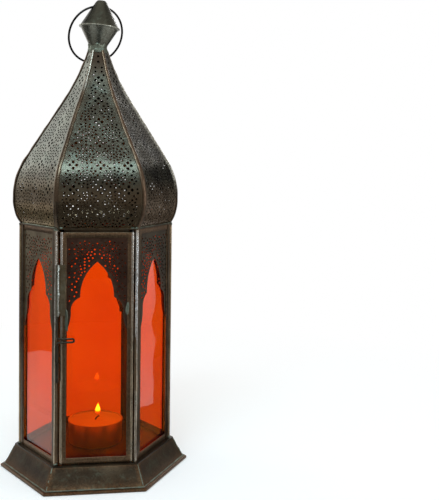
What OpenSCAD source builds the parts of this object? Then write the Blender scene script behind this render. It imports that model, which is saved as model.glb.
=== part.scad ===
// Six-sided sheet metal lantern for a tealight, with coloured glass in a cusped arch on each side,
// a pierced onion dome, a glass door that a sliding wire bolt holds shut, and a hanging ring.
// Millimetres. +Z is up, the door faces -Y, and the origin is the middle of the foot's underside.

/* [Body] */
// How far the body's corners stand inside the corners of the skirt's top
body_step = 3.1; // [2:0.1:5]
// Height of the body from the floor plate to the top plate
body_h = 154.8; // [140:0.1:190]
// Diameter of the bead along each corner
bead_d = 2; // [1.4:0.1:2.4]
// Width of a corner post's wing beside a fixed pane
wing_w = 4.3; // [3:0.1:5.5]
// Width of the corner post's wing beside the latch
latch_wing_w = 1.9; // [1:0.1:2.1]
// Width of the corner post's wing beside the hinge
hinge_wing_w = 0.9; // [0.6:0.1:1.1]
// How far the wing beside the latch stops short of the top plate
latch_wing_short = 4; // [0:0.5:8]

/* [Sheet and glass] */
// Thickness of the folded sheet
sheet_t = 0.6; // [0.4:0.1:0.8]
// Thickness of the coloured glass
glass_t = 2; // [1.5:0.1:2.4]
// Play between a pane and the metal round it
pane_play = 0.1; // [0.05:0.05:0.3]
// Width of the lip behind a pane
back_lip_w = 1.8; // [1.2:0.1:2.4]
// Clearance between neighbouring folded pieces
seam_gap = 0.05; // [0.02:0.01:0.1]

/* [Base] */
// Distance from the middle of the foot to its corners
foot_r = 65.9; // [62:0.5:74]
// Distance from the middle to the corners at the skirt's top
shoulder_r = 55.8; // [55:0.1:60]
// Height of the base with its floor plate
base_h = 15.9; // [12:0.5:24]
// Thickness of the floor plate and of the top plate
plate_t = 0.8; // [0.6:0.1:1.2]
// Width of the hemmed lip round the foot
foot_lip_w = 2.25; // [1.5:0.25:3]
// Height of the hemmed lip round the foot
foot_lip_h = 2; // [1:0.25:3]
// Width of the rim of the top plate outside the body's flats
top_plate_rim = 0.7; // [0.3:0.1:1.5]
// Width of the top plate from the body's corners to the corners of its opening
top_plate_w = 11.2; // [9:0.1:16]

/* [Panes and arches] */
// Visible width of a frame's stile
stile_w = 4.3; // [3.6:0.1:5.5]
// Width of the reveal between a side frame's edge and its opening
side_stile_w = 3.5; // [3:0.1:4.6]
// Height of a frame's bottom rail
bottom_rail_h = 3.9; // [3:0.1:6]
// Height of a frame's top rail
top_rail_h = 3.5; // [2.5:0.1:5]
// Height of the arch from its springing to its point
arch_h = 46; // [36:0.5:60]
// Distance from the top plate down to the arch's point
arch_drop = 21.2; // [18:0.1:30]
// Distance from the opening's edge in to the middles of the outer flowers
flower_side_gap = 3.7; // [3:0.1:5]
// Spacing of the pierced flowers up the plate
flower_pitch_z = 15.3; // [14:0.1:18]
// Distance from a flower's middle to its four holes
flower_r = 2; // [1.6:0.1:2.4]
// Size across a flower's holes
flower_hole_d = 1.6; // [1.2:0.1:2]
// Size across the dots of a sunburst
dot_d = 0.9; // [0.7:0.1:1.1]

/* [Door] */
// Distance from the latch corner to the door
door_latch_gap = 2.7; // [2.5:0.1:4]
// Distance from the hinge corner to the door
door_hinge_gap = 1.9; // [1.7:0.1:3]
// Gap under the door
door_floor_gap = 0.4; // [0.2:0.1:1]
// Gap over the door
door_top_gap = 1.8; // [0.6:0.1:3]
// Diameter of the rolled hems along the door's two upright edges
hem_d = 2.2; // [2.1:0.1:2.6]
// How far the hems stand proud of the door's face
hem_proud = 0.2; // [0.1:0.05:0.3]
// Diameter of the hinge wire
hinge_wire_d = 1.4; // [1:0.1:1.5]
// Radial running clearance round the hinge wire
run_gap = 0.05; // [0.03:0.01:0.09]

/* [Latch] */
// Diameter of the bolt wire
bolt_d = 1.3; // [1:0.05:1.4]
// Radial clearance of the bolt in its guide
bolt_gap = 0.1; // [0.05:0.01:0.15]
// Wall of the guide tube and of the keeper
latch_wall = 0.5; // [0.3:0.05:0.6]
// Clearance between the latch and what it passes
latch_gap = 0.2; // [0.15:0.05:0.4]
// Height of the handle's middle above the floor plate
handle_z = 82.5; // [70:0.5:100]
// Spacing of the handle's two wires
handle_pitch = 2.2; // [1.8:0.1:3]
// Reach of the handle from the bolt's axis
handle_l = 11.5; // [8:0.5:16]
// Gap between the handle and the guide above it
handle_rise = 15; // [14.4:0.2:20]
// Length of the guide tube
guide_h = 33.3; // [26:0.5:40]
// Length of the keeper
keeper_h = 24; // [18:0.5:32]
// Length of the keeper's open cradle
cradle_h = 11.5; // [8:0.5:11.9]
// Length of the bolt inside the guide
bolt_in_guide = 18.5; // [14:0.5:19]
// Length of the bolt inside the keeper
bolt_in_keeper = 11; // [6:0.5:11.4]

/* [Dome] */
// Radius of the bend above the dome's foot
lip_bend_r = 27; // [22:1:32]
// Radius of the dome's belly
belly_r = 57; // [50:1:66]
// Radius of the dome's shoulder
shoulder_bend_r = 55; // [48:1:62]
// Radius of the flare below the neck
flare_r = 165; // [140:1:185]
// How far the dome's corners stand outside the finial's foot at the neck
neck_spread = 0.1; // [0:0.1:1]
// Distance of the dome's foot inside the body's flats
dome_foot_inset = 0.9; // [0.6:0.1:1.6]
// Width of the seam ribs
rib_w = 1.8; // [1.2:0.1:2.4]
// Height of the ribs over the dome's corners
rib_rise = 0.5; // [0.2:0.1:1]
// Depth of the ribs below the dome's corners
rib_depth = 1.5; // [1.2:0.1:2]
// Rows of the dome that have flowers beside the middle one
dome_side_rows = 3; // [1:1:3]
// Spacing of the flowers up the dome
dome_pitch_z = 16.5; // [15:0.1:18]
// Distance from a dome flower's middle to its holes
dome_flower_r = 2.2; // [2:0.1:2.6]
// Size across a dome flower's holes
dome_hole_d = 1.6; // [1.4:0.1:2]

/* [Finial and ring] */
// Height of the solder collar at the neck
neck_h = 3.5; // [2.5:0.1:6]
// Radius of the neck under the finial
neck_r = 6.4; // [5.8:0.1:7.2]
// Radius of the finial's cones where they meet
finial_r = 13.8; // [12:0.1:16]
// Height of the finial's lower cone
finial_low_h = 12.9; // [10:0.1:16]
// Height of the finial's upper cone
finial_high_h = 18.1; // [16:0.1:22]
// Radius of the finial's top
finial_top_r = 3.6; // [2.8:0.1:4.4]
// Height of the finial's rounded top
finial_cap_h = 0.9; // [0.5:0.1:1.4]
// Lean of the finial towards the hinge side, in degrees
finial_lean = 4.2; // [0:0.1:6]
// Size of the folded rim between the cones
rim_fold = 0.5; // [0.3:0.1:0.8]
// Mean radius of the hanging ring
ring_r = 20.4; // [19.5:0.1:23]
// Diameter of the ring's wire
ring_wire_d = 1.5; // [1.2:0.1:1.6]
// Distance from the hole's axis to the wire's axis
ring_offset = 0.7; // [0.6:0.05:0.8]
// Clearance of the wire in its hole
ring_gap = 0.15; // [0.1:0.05:0.25]
// Height of the ring's hole above the finial's widest place
ring_hole_rise = 14.1; // [12:0.1:15]
// Turn of the ring about the upright axis, in degrees
ring_yaw = 26; // [0:1:40]
// Tilt of the ring's hole, in degrees
ring_tilt = 0; // [0:0.2:6]
// Lean of the ring from hanging plumb, in degrees
ring_lean = 23.5; // [20:0.5:30]

/* [Tealight] */
// Diameter of the tealight cup
cup_d = 38.5; // [36:0.5:41]
// Height of the tealight cup
cup_h = 16; // [12:0.5:20]
// Wall of the cup
cup_wall = 0.4; // [0.2:0.1:0.6]
// Height of the wax
wax_h = 12.5; // [6:0.5:13]
// Diameter of the wick
wick_d = 1.2; // [0.8:0.1:2]
// Height of the wick above the wax
wick_h = 4.5; // [3:0.5:8]

/* [Hidden] */
$fn = 48;

sides = 6;
turn = 360 / sides;
half = turn / 2;
// How far a cutting shape runs past what it cuts
overrun = bead_d / 2;

// Levels
floor_z = base_h;
plate_z = floor_z + body_h;
dome_z = plate_z + plate_t;

// The body's corners and flats, and the depth of each layer of a side
body_r = shoulder_r - body_step;
flat_y = body_r * cos(half);
side_face = flat_y - sheet_t;
pocket_t = sheet_t + glass_t + pane_play;
frame_deep = sheet_t + pocket_t + sheet_t;
side_back = side_face - frame_deep;
side_half_w = side_back * tan(half) - 6 * seam_gap;
top_opening_r = body_r - top_plate_w;
bead_r = body_r - bead_d / 5;

// The door's edges, seen from outside
door_x0 = -body_r / 2 + door_latch_gap;
door_x1 = body_r / 2 - door_hinge_gap;
door_z0 = floor_z + door_floor_gap;
door_z1 = plate_z - door_top_gap;
hem_r = hem_d / 2;
hem_y = flat_y + hem_proud - hem_r;
hinge_x = door_x1 - hem_r;
// The door's channel starts a little inside the hems' rounds, as a share of their diameter
channel_share = 0.9;
channel_x0 = door_x0 + channel_share * hem_d;
channel_x1 = door_x1 - channel_share * hem_d;

// The arch: its outline's corners as shares of the half width and the height,
// and the bulge of each stretch as a share of its length
arch_outline_shares = [[0, 1], [0.55, 0.495], [0.845, 0.26], [1, 0]];
arch_bulge_shares = [0.118, 0.18, -0.05];
arch_steps = 8;
arch_z = plate_z - arch_drop - arch_h;

// The latch's axis stands clear of the corner bead, and left of the door's sweep
tube_r = bolt_d / 2 + bolt_gap + latch_wall;
bolt_x = door_x0 - latch_gap - tube_r;
bead_x = -bead_r * sin(half);
bead_y = bead_r * cos(half);
bolt_away = bead_d / 2 + tube_r + latch_gap;
bolt_y = bead_y + sqrt(pow(bolt_away, 2) - pow(bolt_x - bead_x, 2));
bolt_z = floor_z + handle_z;
guide_z = bolt_z + handle_pitch / 2 + handle_rise;
keeper_z = bolt_z - handle_pitch / 2 - bolt_d * 1.6 - keeper_h;

// The dome's profile: lean of the sheet at each joint, in degrees, and where each stretch ends
foot_lean = 34;
belly_lean = 7.5;
flank_lean = -29;
neck_lean = -15.5;
dome_start = [flat_y - dome_foot_inset, dome_z - sheet_t];
lip_end = bend(dome_start, foot_lean, belly_lean, lip_bend_r);
belly_end = bend(lip_end, belly_lean, 0, belly_r);
shoulder_end = bend(belly_end, 0, flank_lean, shoulder_bend_r);
// The flank is as long as it takes to bring the flare's top in to the neck
dome_neck_y = (neck_r + neck_spread) * cos(half);
flare_in = flare_r * (cos(neck_lean) - cos(flank_lean));
flank_l = (shoulder_end[0] - flare_in - dome_neck_y) / -sin(flank_lean);
flank_end = shoulder_end + flank_l * heading(flank_lean);
flare_end = bend(flank_end, flank_lean, neck_lean, -flare_r);
neck_z = flare_end[1] - sheet_t;
profile_steps = 8;
stretch_leans = [foot_lean, belly_lean, 0, flank_lean, neck_lean];
dome_rows = 7;
// Place of the side flowers across a gore, as a share of its half width there
dome_side_share = 0.63;
first_flower_run = 0.62 * dome_pitch_z;

// The finial stands on the neck collar and leans about its foot
finial_z = neck_z + neck_h;
finial_wall = 1.25 * sheet_t;
finial_h = finial_low_h + finial_high_h;
ring_hole_h = finial_low_h + ring_hole_rise;
ring_hole_r = ring_offset + ring_wire_d / 2 + ring_gap;

// A unit step along a sheet that leans outwards by an angle, as distance from the axis and height
function heading(lean) = [sin(lean), cos(lean)];

// The middle of a bend of signed radius r that starts at p: inside the dome if r is positive
function bend_middle(p, lean, r) = p + r * [-cos(lean), sin(lean)];

// The place on a bend where the sheet has a lean
function bend_at(middle, lean, r) = middle + r * [cos(lean), -sin(lean)];

// The end of a bend that starts at p and turns from one lean to another
function bend(p, lean_0, lean_1, r) = bend_at(bend_middle(p, lean_0, r), lean_1, r);

// Points along a bend
function bend_points(p, lean_0, lean_1, r) = [
    for (i = [0:profile_steps])
        bend_at(bend_middle(p, lean_0, r), lean_0 + (lean_1 - lean_0) * i / profile_steps, r)
];

// The same points on the inside of the sheet
function inside_points(p, lean_0, lean_1, r) = [
    for (i = [0:profile_steps])
        bend_at(bend_middle(p, lean_0, r), lean_0 + (lean_1 - lean_0) * i / profile_steps, r - sheet_t)
];

// The dome's outer profile on its flats, from the foot to the neck
dome_profile = concat(
    bend_points(dome_start, foot_lean, belly_lean, lip_bend_r),
    bend_points(lip_end, belly_lean, 0, belly_r),
    bend_points(belly_end, 0, flank_lean, shoulder_bend_r),
    bend_points(flank_end, flank_lean, neck_lean, -flare_r)
);

// The inside of the sheet, in the same order
dome_inside = concat(
    inside_points(dome_start, foot_lean, belly_lean, lip_bend_r),
    inside_points(lip_end, belly_lean, 0, belly_r),
    inside_points(belly_end, 0, flank_lean, shoulder_bend_r),
    inside_points(flank_end, flank_lean, neck_lean, -flare_r)
);

// The same profile along a corner, moved outwards by a distance
function corner_profile(out) = [for (p = dome_profile) [p[0] / cos(half) + out, p[1]]];

// Distance along the profile to each of its points, and what lies there
function run_to(i) = i == 0 ? 0 : run_to(i - 1) + norm(dome_profile[i] - dome_profile[i - 1]);
runs = [for (i = [0:len(dome_profile) - 1]) run_to(i) + i * seam_gap / 100];
profile_y_at = [for (i = [0:len(runs) - 1]) [runs[i], dome_profile[i][0]]];
profile_z_at = [for (i = [0:len(runs) - 1]) [runs[i], dome_profile[i][1]]];
lean_at = [
    for (i = [0:len(runs) - 1])
        let (
            stretch = floor(i / (profile_steps + 1)),
            share = (i - stretch * (profile_steps + 1)) / profile_steps
        )
        [runs[i], stretch_leans[stretch] + (stretch_leans[stretch + 1] - stretch_leans[stretch]) * share]
];

// Points of an arc from a to b whose middle stands out by a share of its length
function arc_points(a, b, bulge_share) = [
    for (i = [0:arch_steps - 1])
        let (
            s = i / arch_steps,
            side = [a[1] - b[1], b[0] - a[0]],
            rise = 4 * bulge_share * s * (1 - s)
        )
        a + s * (b - a) + rise * side
];

// Half of the arch's outline, from its point down to its springing
function arch_half(half_w) =
    let (p = [for (q = arch_outline_shares) [q[0] * half_w, arch_z + q[1] * arch_h]])
    concat(
        arc_points(p[0], p[1], arch_bulge_shares[0]),
        arc_points(p[1], p[2], arch_bulge_shares[1]),
        arc_points(p[2], p[3], arch_bulge_shares[2]),
        [p[3]]
    );

// Turns a shape made for the door's side to side k, counted the way the hinge side lies
module on_side(k) {
    rotate([0, 0, turn * k])
        children();
}

// A sheet drawn as x and height, with its outer face at a distance from the lantern's axis
module upright_sheet(face, thick) {
    translate([0, thick - face, 0])
        rotate([90, 0, 0])
            linear_extrude(height = thick)
                children();
}

// A section drawn as distance from the axis and height, run along a side and cut to its wedge
module mitred_run(reach, height, inset) {
    intersection() {
        rotate([90, 0, -90])
            linear_extrude(height = 2 * reach, center = true)
                children();
        translate([0, -inset / sin(half), 0])
            linear_extrude(height = height)
                polygon([[0, 0], [-reach * tan(half), -reach], [reach * tan(half), -reach]]);
    }
}

module rectangle(x0, x1, z0, z1) {
    translate([x0, z0])
        square([x1 - x0, z1 - z0]);
}

module rectangle_ring(x0, x1, z0, z1, left, right, low, high) {
    difference() {
        rectangle(x0, x1, z0, z1);
        rectangle(x0 + left, x1 - right, z0 + low, z1 - high);
    }
}

// The channel that holds a pane: a web round its edge and a lip behind it
module pane_channel(x0, x1, z0, z1, face) {
    upright_sheet(face - sheet_t, pocket_t)
        rectangle_ring(x0, x1, z0, z1, sheet_t, sheet_t, sheet_t, sheet_t);
    upright_sheet(face - sheet_t - pocket_t, sheet_t)
        rectangle_ring(x0, x1, z0, z1, back_lip_w, back_lip_w, back_lip_w, back_lip_w);
}

module pane(x0, x1, z0, z1, face) {
    edge = sheet_t + pane_play;
    upright_sheet(face - 2 * sheet_t, glass_t)
        rectangle(x0 + edge, x1 - edge, z0 + sheet_t, z1 - edge);
}

// Four holes in a cross
module flower(r, d) {
    for (a = [0:90:270])
        rotate([0, 0, a])
            translate([r, 0])
                circle(d = d, $fn = 8);
}

// Dots in rays round a middle, out to a reach, kept where they clear the arch's edge
module sunburst(x, z, reach, edge) {
    rays = 12;
    rings = 3;
    margin = dot_d;
    for (ray = [0:rays - 1])
        for (ring = [1:rings])
            let (
                r = reach * (0.14 + 0.287 * ring),
                px = x + r * cos((ray + 0.5) * 360 / rays),
                pz = z + r * sin((ray + 0.5) * 360 / rays)
            )
            if (pz > arch_z + arch_h + margin || abs(px) > lookup(pz, edge) + margin)
                translate([px, pz])
                    circle(d = dot_d, $fn = 6);
}

// The pierced arch plate behind a frame's opening
module arch_plate(x0, x1, z1, left, right, face) {
    edge = sheet_t + pane_play;
    middle = (x0 + left + x1 - right) / 2;
    half_w = (x1 - right - x0 - left) / 2;
    outline = arch_half(half_w);
    opening = concat(
        [for (p = outline) [middle + p[0], p[1]]],
        [for (i = [len(outline) - 1:-1:1]) [middle - outline[i][0], outline[i][1]]]
    );
    edge_at = [for (i = [len(outline) - 1:-1:0]) [outline[i][1], outline[i][0]]];
    leg = 2 * back_lip_w;
    point_z = arch_z + arch_h;
    flower_x = half_w - flower_side_gap;
    upright_sheet(face - sheet_t, sheet_t)
        difference() {
            rectangle(x0 + edge, x1 - edge, arch_z - leg, z1 - edge);
            rectangle(middle - half_w, middle + half_w, arch_z - 2 * leg, arch_z);
            polygon(opening);
            translate([middle, 0]) {
                for (row = [-1:1])
                    for (column = [-1, 1])
                        translate([column * flower_x, point_z - flower_r / 2 + row * flower_pitch_z])
                            flower(flower_r, flower_hole_d);
                translate([0, point_z - flower_r / 2 + flower_pitch_z])
                    flower(flower_r, flower_hole_d);
                for (column = [-0.5, 0.5])
                    sunburst(
                        column * flower_x, point_z - flower_r / 2 + flower_pitch_z / 2,
                        0.41 * flower_x, edge_at
                    );
            }
        }
}

// A six-sided block between two heights, with its radius to the corners at each end
module hex_block(z0, z1, r0, r1) {
    translate([0, 0, z0])
        cylinder(h = z1 - z0, r1 = r0, r2 = r1, $fn = sides);
}

module base_skirt() {
    wall_r = foot_r - foot_lip_w / cos(half);
    thick = plate_t / cos(half);
    wall_z = floor_z - plate_t;
    cut_z = wall_z + overrun;
    // How fast the skirt narrows, as radius lost per height
    taper = (wall_r - shoulder_r) / (wall_z - foot_lip_h);
    color([0.30, 0.24, 0.19])
        difference() {
            union() {
                hex_block(0, foot_lip_h, foot_r, foot_r);
                hex_block(foot_lip_h / 2, wall_z, wall_r + taper * foot_lip_h / 2, shoulder_r);
            }
            hex_block(-overrun, foot_lip_h, wall_r - thick, wall_r - thick);
            hex_block(foot_lip_h, cut_z, wall_r - thick, shoulder_r - thick - taper * overrun);
        }
}

module base_floor() {
    color([0.24, 0.20, 0.17])
        translate([0, 0, floor_z - plate_t])
            difference() {
                cylinder(h = plate_t, r = shoulder_r, $fn = sides);
                translate([hinge_x, -hem_y, -overrun])
                    cylinder(h = plate_t + 2 * overrun, r = hinge_wire_d / 2 + run_gap);
            }
}

module top_plate() {
    color([0.24, 0.20, 0.17])
        translate([0, 0, plate_z])
            difference() {
                cylinder(h = plate_t, r = (flat_y + top_plate_rim) / cos(half), $fn = sides);
                translate([0, 0, -overrun])
                    cylinder(h = plate_t + 2 * overrun, r = top_opening_r, $fn = sides);
                translate([hinge_x, -hem_y, -overrun])
                    cylinder(h = plate_t + 2 * overrun, r = hinge_wire_d / 2 + run_gap);
            }
}

// The post at the latch side of side k: two wings and a bead on the corner
module corner_post(k, wing_before, wing_after, after_h) {
    color([0.36, 0.30, 0.23])
        on_side(k)
            translate([0, 0, floor_z]) {
                linear_extrude(height = body_h) {
                    rotate([0, 0, -turn])
                        translate([body_r / 2 - wing_before, -flat_y])
                            square([wing_before, sheet_t]);
                    translate([-bead_r * sin(half), -bead_r * cos(half)])
                        circle(d = bead_d);
                }
                linear_extrude(height = after_h)
                    translate([-body_r / 2, -flat_y])
                        square([wing_after, sheet_t]);
            }
}

module side_frame(k) {
    color([0.32, 0.27, 0.21])
        on_side(k) {
            upright_sheet(side_face, sheet_t)
                rectangle_ring(
                    -side_half_w, side_half_w, floor_z, plate_z,
                    side_stile_w, side_stile_w, bottom_rail_h, top_rail_h
                );
            pane_channel(-side_half_w, side_half_w, floor_z, plate_z, side_face);
        }
}

module side_glass(k) {
    color([0.90, 0.25, 0.02, 0.5])
        on_side(k)
            pane(-side_half_w, side_half_w, floor_z, plate_z, side_face);
}

module side_arch(k) {
    color([0.30, 0.25, 0.20])
        on_side(k)
            arch_plate(-side_half_w, side_half_w, plate_z, side_stile_w, side_stile_w, side_face);
}

module door_frame() {
    door_h = door_z1 - door_z0;
    color([0.32, 0.27, 0.21])
        difference() {
            union() {
                upright_sheet(flat_y, sheet_t)
                    rectangle_ring(
                        door_x0 + hem_r, door_x1 - hem_r, door_z0, door_z1,
                        stile_w - hem_r, stile_w - hem_r, bottom_rail_h, top_rail_h
                    );
                pane_channel(channel_x0, channel_x1, door_z0, door_z1, flat_y);
                for (x = [door_x0 + hem_r, hinge_x])
                    translate([x, -hem_y, door_z0])
                        cylinder(h = door_h, d = hem_d);
            }
            translate([hinge_x, -hem_y, door_z0 - overrun])
                cylinder(h = door_h + 2 * overrun, r = hinge_wire_d / 2 + run_gap);
        }
}

module door_glass() {
    color([0.90, 0.25, 0.02, 0.5])
        pane(channel_x0, channel_x1, door_z0, door_z1, flat_y);
}

module door_arch() {
    color([0.30, 0.25, 0.20])
        arch_plate(
            channel_x0, channel_x1, door_z1,
            stile_w - channel_share * hem_d, stile_w - channel_share * hem_d, flat_y
        );
}

// The wire that the door turns on, with a head under the floor and a collar under the door
module hinge_wire() {
    color([0.45, 0.42, 0.38])
        translate([hinge_x, -hem_y, 0]) {
            translate([0, 0, floor_z - 2 * plate_t])
                cylinder(h = 2 * plate_t + body_h + plate_t - seam_gap, d = hinge_wire_d);
            translate([0, 0, floor_z - 2 * plate_t])
                cylinder(h = plate_t, r = hem_r);
            translate([0, 0, floor_z])
                cylinder(h = door_floor_gap - run_gap, r = hem_r);
        }
}

// The tube on the door that the bolt slides in, and the strap that holds it
module latch_guide() {
    strap_x1 = door_x0 + stile_w - bolt_d / 2;
    strap_y = flat_y + hem_proud;
    color([0.50, 0.52, 0.46])
        difference() {
            union() {
                translate([bolt_x, -bolt_y, guide_z])
                    cylinder(h = guide_h, r = tube_r);
                translate([bolt_x, -strap_y - sheet_t, guide_z])
                    cube([strap_x1 - bolt_x, sheet_t, guide_h]);
                translate([bolt_x, -bolt_y, guide_z])
                    cube([tube_r, bolt_y - strap_y, guide_h]);
                translate([door_x0 + hem_d, -strap_y, guide_z])
                    cube([strap_x1 - door_x0 - hem_d, hem_proud, guide_h]);
            }
            translate([bolt_x, -bolt_y, guide_z - overrun])
                cylinder(h = guide_h + 2 * overrun, r = tube_r - latch_wall);
        }
}

// The tube on the latch post: closed below, and an open cradle above that the bolt swings out of
module latch_keeper() {
    foot_x = bead_x + bead_d / 2 + seam_gap;
    wing_x = -body_r / 2 + latch_wing_w;
    color([0.44, 0.42, 0.36])
        difference() {
            union() {
                translate([bolt_x, -bolt_y, keeper_z])
                    cylinder(h = keeper_h, r = tube_r);
                translate([foot_x, -bolt_y + tube_r - latch_wall / 2, keeper_z])
                    cube([wing_x - foot_x, bolt_y - tube_r + latch_wall / 2 - flat_y, keeper_h]);
            }
            translate([bolt_x, -bolt_y, keeper_z - overrun])
                cylinder(h = keeper_h + 2 * overrun, r = tube_r - latch_wall);
            translate([bolt_x - 2 * tube_r, -bolt_y - 2 * tube_r, keeper_z + keeper_h - cradle_h])
                cube([4 * tube_r, 2 * tube_r, cradle_h + overrun]);
        }
}

// A straight piece of wire in the plane of the door, between two places given as x and height
module wire_piece(a, b, d) {
    run = b - a;
    translate([a[0], 0, a[1]])
        rotate([0, 90 - atan2(run[1], run[0]), 0])
            cylinder(h = norm(run), d = d);
    translate([b[0], 0, b[1]])
        sphere(d = d, $fn = 24);
}

// One wire: down from the guide, out as a flat hairpin handle, back, and down into the keeper
module latch_bolt() {
    root = 0.8 * bolt_d;
    rise = handle_pitch / 2;
    eye = rise + root;
    reach = handle_l - rise - bolt_d / 2;
    color([0.30, 0.30, 0.27])
        translate([bolt_x, -bolt_y, bolt_z]) {
            wire_piece([0, handle_rise + rise + bolt_in_guide], [0, eye], bolt_d);
            wire_piece([0, eye], [root, rise], bolt_d);
            wire_piece([root, rise], [reach, rise], bolt_d);
            translate([reach, 0, 0])
                rotate([90, 0, 0])
                    rotate([0, 0, -90])
                        rotate_extrude(angle = 180)
                            translate([rise, 0])
                                circle(d = bolt_d, $fn = 24);
            wire_piece([reach, -rise], [root, -rise], bolt_d);
            wire_piece([root, -rise], [0, -eye], bolt_d);
            wire_piece([0, -eye], [0, keeper_z + keeper_h - bolt_in_keeper - bolt_z], bolt_d);
        }
}

// Four holes in a cross through the dome's sheet, at a place along its profile and across it
module dome_flower(run, across) {
    lean = lookup(run, lean_at);
    translate([across, -lookup(run, profile_y_at), lookup(run, profile_z_at)])
        rotate([90 + lean, 0, 0])
            linear_extrude(height = 4 * sheet_t, center = true)
                flower(dome_flower_r, dome_hole_d);
}

module dome_gore(k) {
    color([0.38, 0.37, 0.31])
        on_side(k)
            difference() {
                intersection() {
                    mitred_run(body_r + belly_r / 4, neck_z + overrun, rib_w / 2 + seam_gap)
                        polygon(concat(
                            dome_profile,
                            [for (i = [len(dome_inside) - 1:-1:0]) dome_inside[i]]
                        ));
                    translate([-body_r, -2 * body_r, dome_z])
                        cube([2 * body_r, 2 * body_r, neck_z - dome_z]);
                }
                for (row = [0:dome_rows - 1])
                    let (
                        run = first_flower_run + row * dome_pitch_z,
                        side_x = dome_side_share * lookup(run, profile_y_at) * tan(half)
                    )
                        for (column = row < dome_side_rows ? [-1, 0, 1] : [0])
                            dome_flower(run, column * side_x);
            }
}

// The raised seam on the corner at the latch side of side k
module dome_rib(k) {
    outer = corner_profile(rib_rise);
    inner = corner_profile(-rib_depth);
    color([0.55, 0.45, 0.35])
        rotate([0, 0, turn * k - half])
            intersection() {
                rotate([90, 0, -90])
                    linear_extrude(height = rib_w, center = true)
                        polygon(concat(outer, [for (i = [len(inner) - 1:-1:0]) inner[i]]));
                translate([-rib_w, -2 * body_r, dome_z])
                    cube([2 * rib_w, 2 * body_r, neck_z - dome_z]);
            }
}

module neck_collar() {
    foot = flare_end[0] / cos(half) + rib_rise;
    bore = neck_r - 2 * finial_wall;
    color([0.50, 0.53, 0.47])
        translate([0, 0, neck_z])
            difference() {
                rotate_extrude()
                    polygon([
                        [bore, 0],
                        [foot, 0],
                        [neck_r + rim_fold, neck_h * 0.7],
                        [neck_r, neck_h + rim_fold],
                        [bore, neck_h + rim_fold]
                    ]);
                translate([0, 0, neck_h])
                    rotate([0, finial_lean, 0])
                        translate([-foot, -foot, 0])
                            cube([2 * foot, 2 * foot, neck_h]);
            }
}

// Puts a shape on the leaning finial's own foot
module on_finial() {
    translate([0, 0, finial_z])
        rotate([0, finial_lean, 0])
            children();
}

// Puts a shape made round the ring's hole, with x along the hole, in its place on the finial
module on_ring_hole() {
    on_finial()
        translate([0, 0, ring_hole_h])
            rotate([0, -finial_lean, 0])
                rotate([0, 0, ring_yaw])
                    rotate([0, ring_tilt, 0])
                        children();
}

module finial_lower_cone() {
    color([0.34, 0.33, 0.28])
        on_finial()
            rotate_extrude()
                polygon([
                    [neck_r - finial_wall, 0],
                    [neck_r, 0],
                    [finial_r - rim_fold, finial_low_h - rim_fold],
                    [finial_r + rim_fold, finial_low_h - rim_fold],
                    [finial_r + rim_fold, finial_low_h + rim_fold],
                    [finial_r + seam_gap, finial_low_h + rim_fold],
                    [finial_r + seam_gap, finial_low_h],
                    [finial_r - finial_wall, finial_low_h]
                ]);
}

module finial_upper_cone() {
    color([0.34, 0.33, 0.28])
        difference() {
            on_finial()
                rotate_extrude()
                    polygon([
                        [finial_r - finial_wall, finial_low_h],
                        [finial_r, finial_low_h],
                        [finial_top_r, finial_h],
                        [finial_top_r * 0.75, finial_h + finial_cap_h * 0.8],
                        [0, finial_h + finial_cap_h],
                        [0, finial_h - finial_wall],
                        [finial_top_r - finial_wall, finial_h - finial_wall]
                    ]);
            on_ring_hole()
                translate([-finial_r, 0, 0])
                    rotate([0, 90, 0])
                        cylinder(h = 2 * finial_r, r = ring_hole_r);
        }
}

module hanging_ring() {
    color([0.12, 0.12, 0.12])
        on_ring_hole()
            rotate([ring_lean, 0, 0])
                translate([0, 0, ring_offset - ring_r])
                    rotate([90, 0, 0])
                        rotate_extrude($fn = 96)
                            translate([ring_r, 0])
                                circle(d = ring_wire_d, $fn = 24);
}

module tealight_cup() {
    color([0.75, 0.75, 0.77])
        translate([0, 0, floor_z])
            difference() {
                cylinder(h = cup_h, d = cup_d);
                translate([0, 0, cup_wall])
                    cylinder(h = cup_h, d = cup_d - 2 * cup_wall);
            }
}

module tealight_wax() {
    color([0.95, 0.85, 0.70])
        translate([0, 0, floor_z + cup_wall])
            cylinder(h = wax_h, d = cup_d - 2 * cup_wall - 2 * seam_gap);
}

module tealight_wick() {
    color([0.12, 0.10, 0.08])
        translate([0, 0, floor_z + cup_wall + wax_h])
            cylinder(h = wick_h, d = wick_d);
}

base_skirt();
base_floor();
top_plate();
corner_post(0, wing_w, latch_wing_w, body_h - latch_wing_short);  // corner_post_1
corner_post(1, hinge_wing_w, wing_w, body_h);  // corner_post_2
corner_post(2, wing_w, wing_w, body_h);  // corner_post_3
corner_post(3, wing_w, wing_w, body_h);  // corner_post_4
corner_post(4, wing_w, wing_w, body_h);  // corner_post_5
corner_post(5, wing_w, wing_w, body_h);  // corner_post_6
side_frame(1);  // side_frame_1
side_frame(2);  // side_frame_2
side_frame(3);  // side_frame_3
side_frame(4);  // side_frame_4
side_frame(5);  // side_frame_5
side_glass(1);  // side_glass_1
side_glass(2);  // side_glass_2
side_glass(3);  // side_glass_3
side_glass(4);  // side_glass_4
side_glass(5);  // side_glass_5
side_arch(1);  // side_arch_1
side_arch(2);  // side_arch_2
side_arch(3);  // side_arch_3
side_arch(4);  // side_arch_4
side_arch(5);  // side_arch_5
door_frame();
door_glass();
door_arch();
hinge_wire();
latch_guide();
latch_keeper();
latch_bolt();
dome_gore(0);  // dome_gore_1
dome_gore(1);  // dome_gore_2
dome_gore(2);  // dome_gore_3
dome_gore(3);  // dome_gore_4
dome_gore(4);  // dome_gore_5
dome_gore(5);  // dome_gore_6
dome_rib(0);  // dome_rib_1
dome_rib(1);  // dome_rib_2
dome_rib(2);  // dome_rib_3
dome_rib(3);  // dome_rib_4
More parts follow.
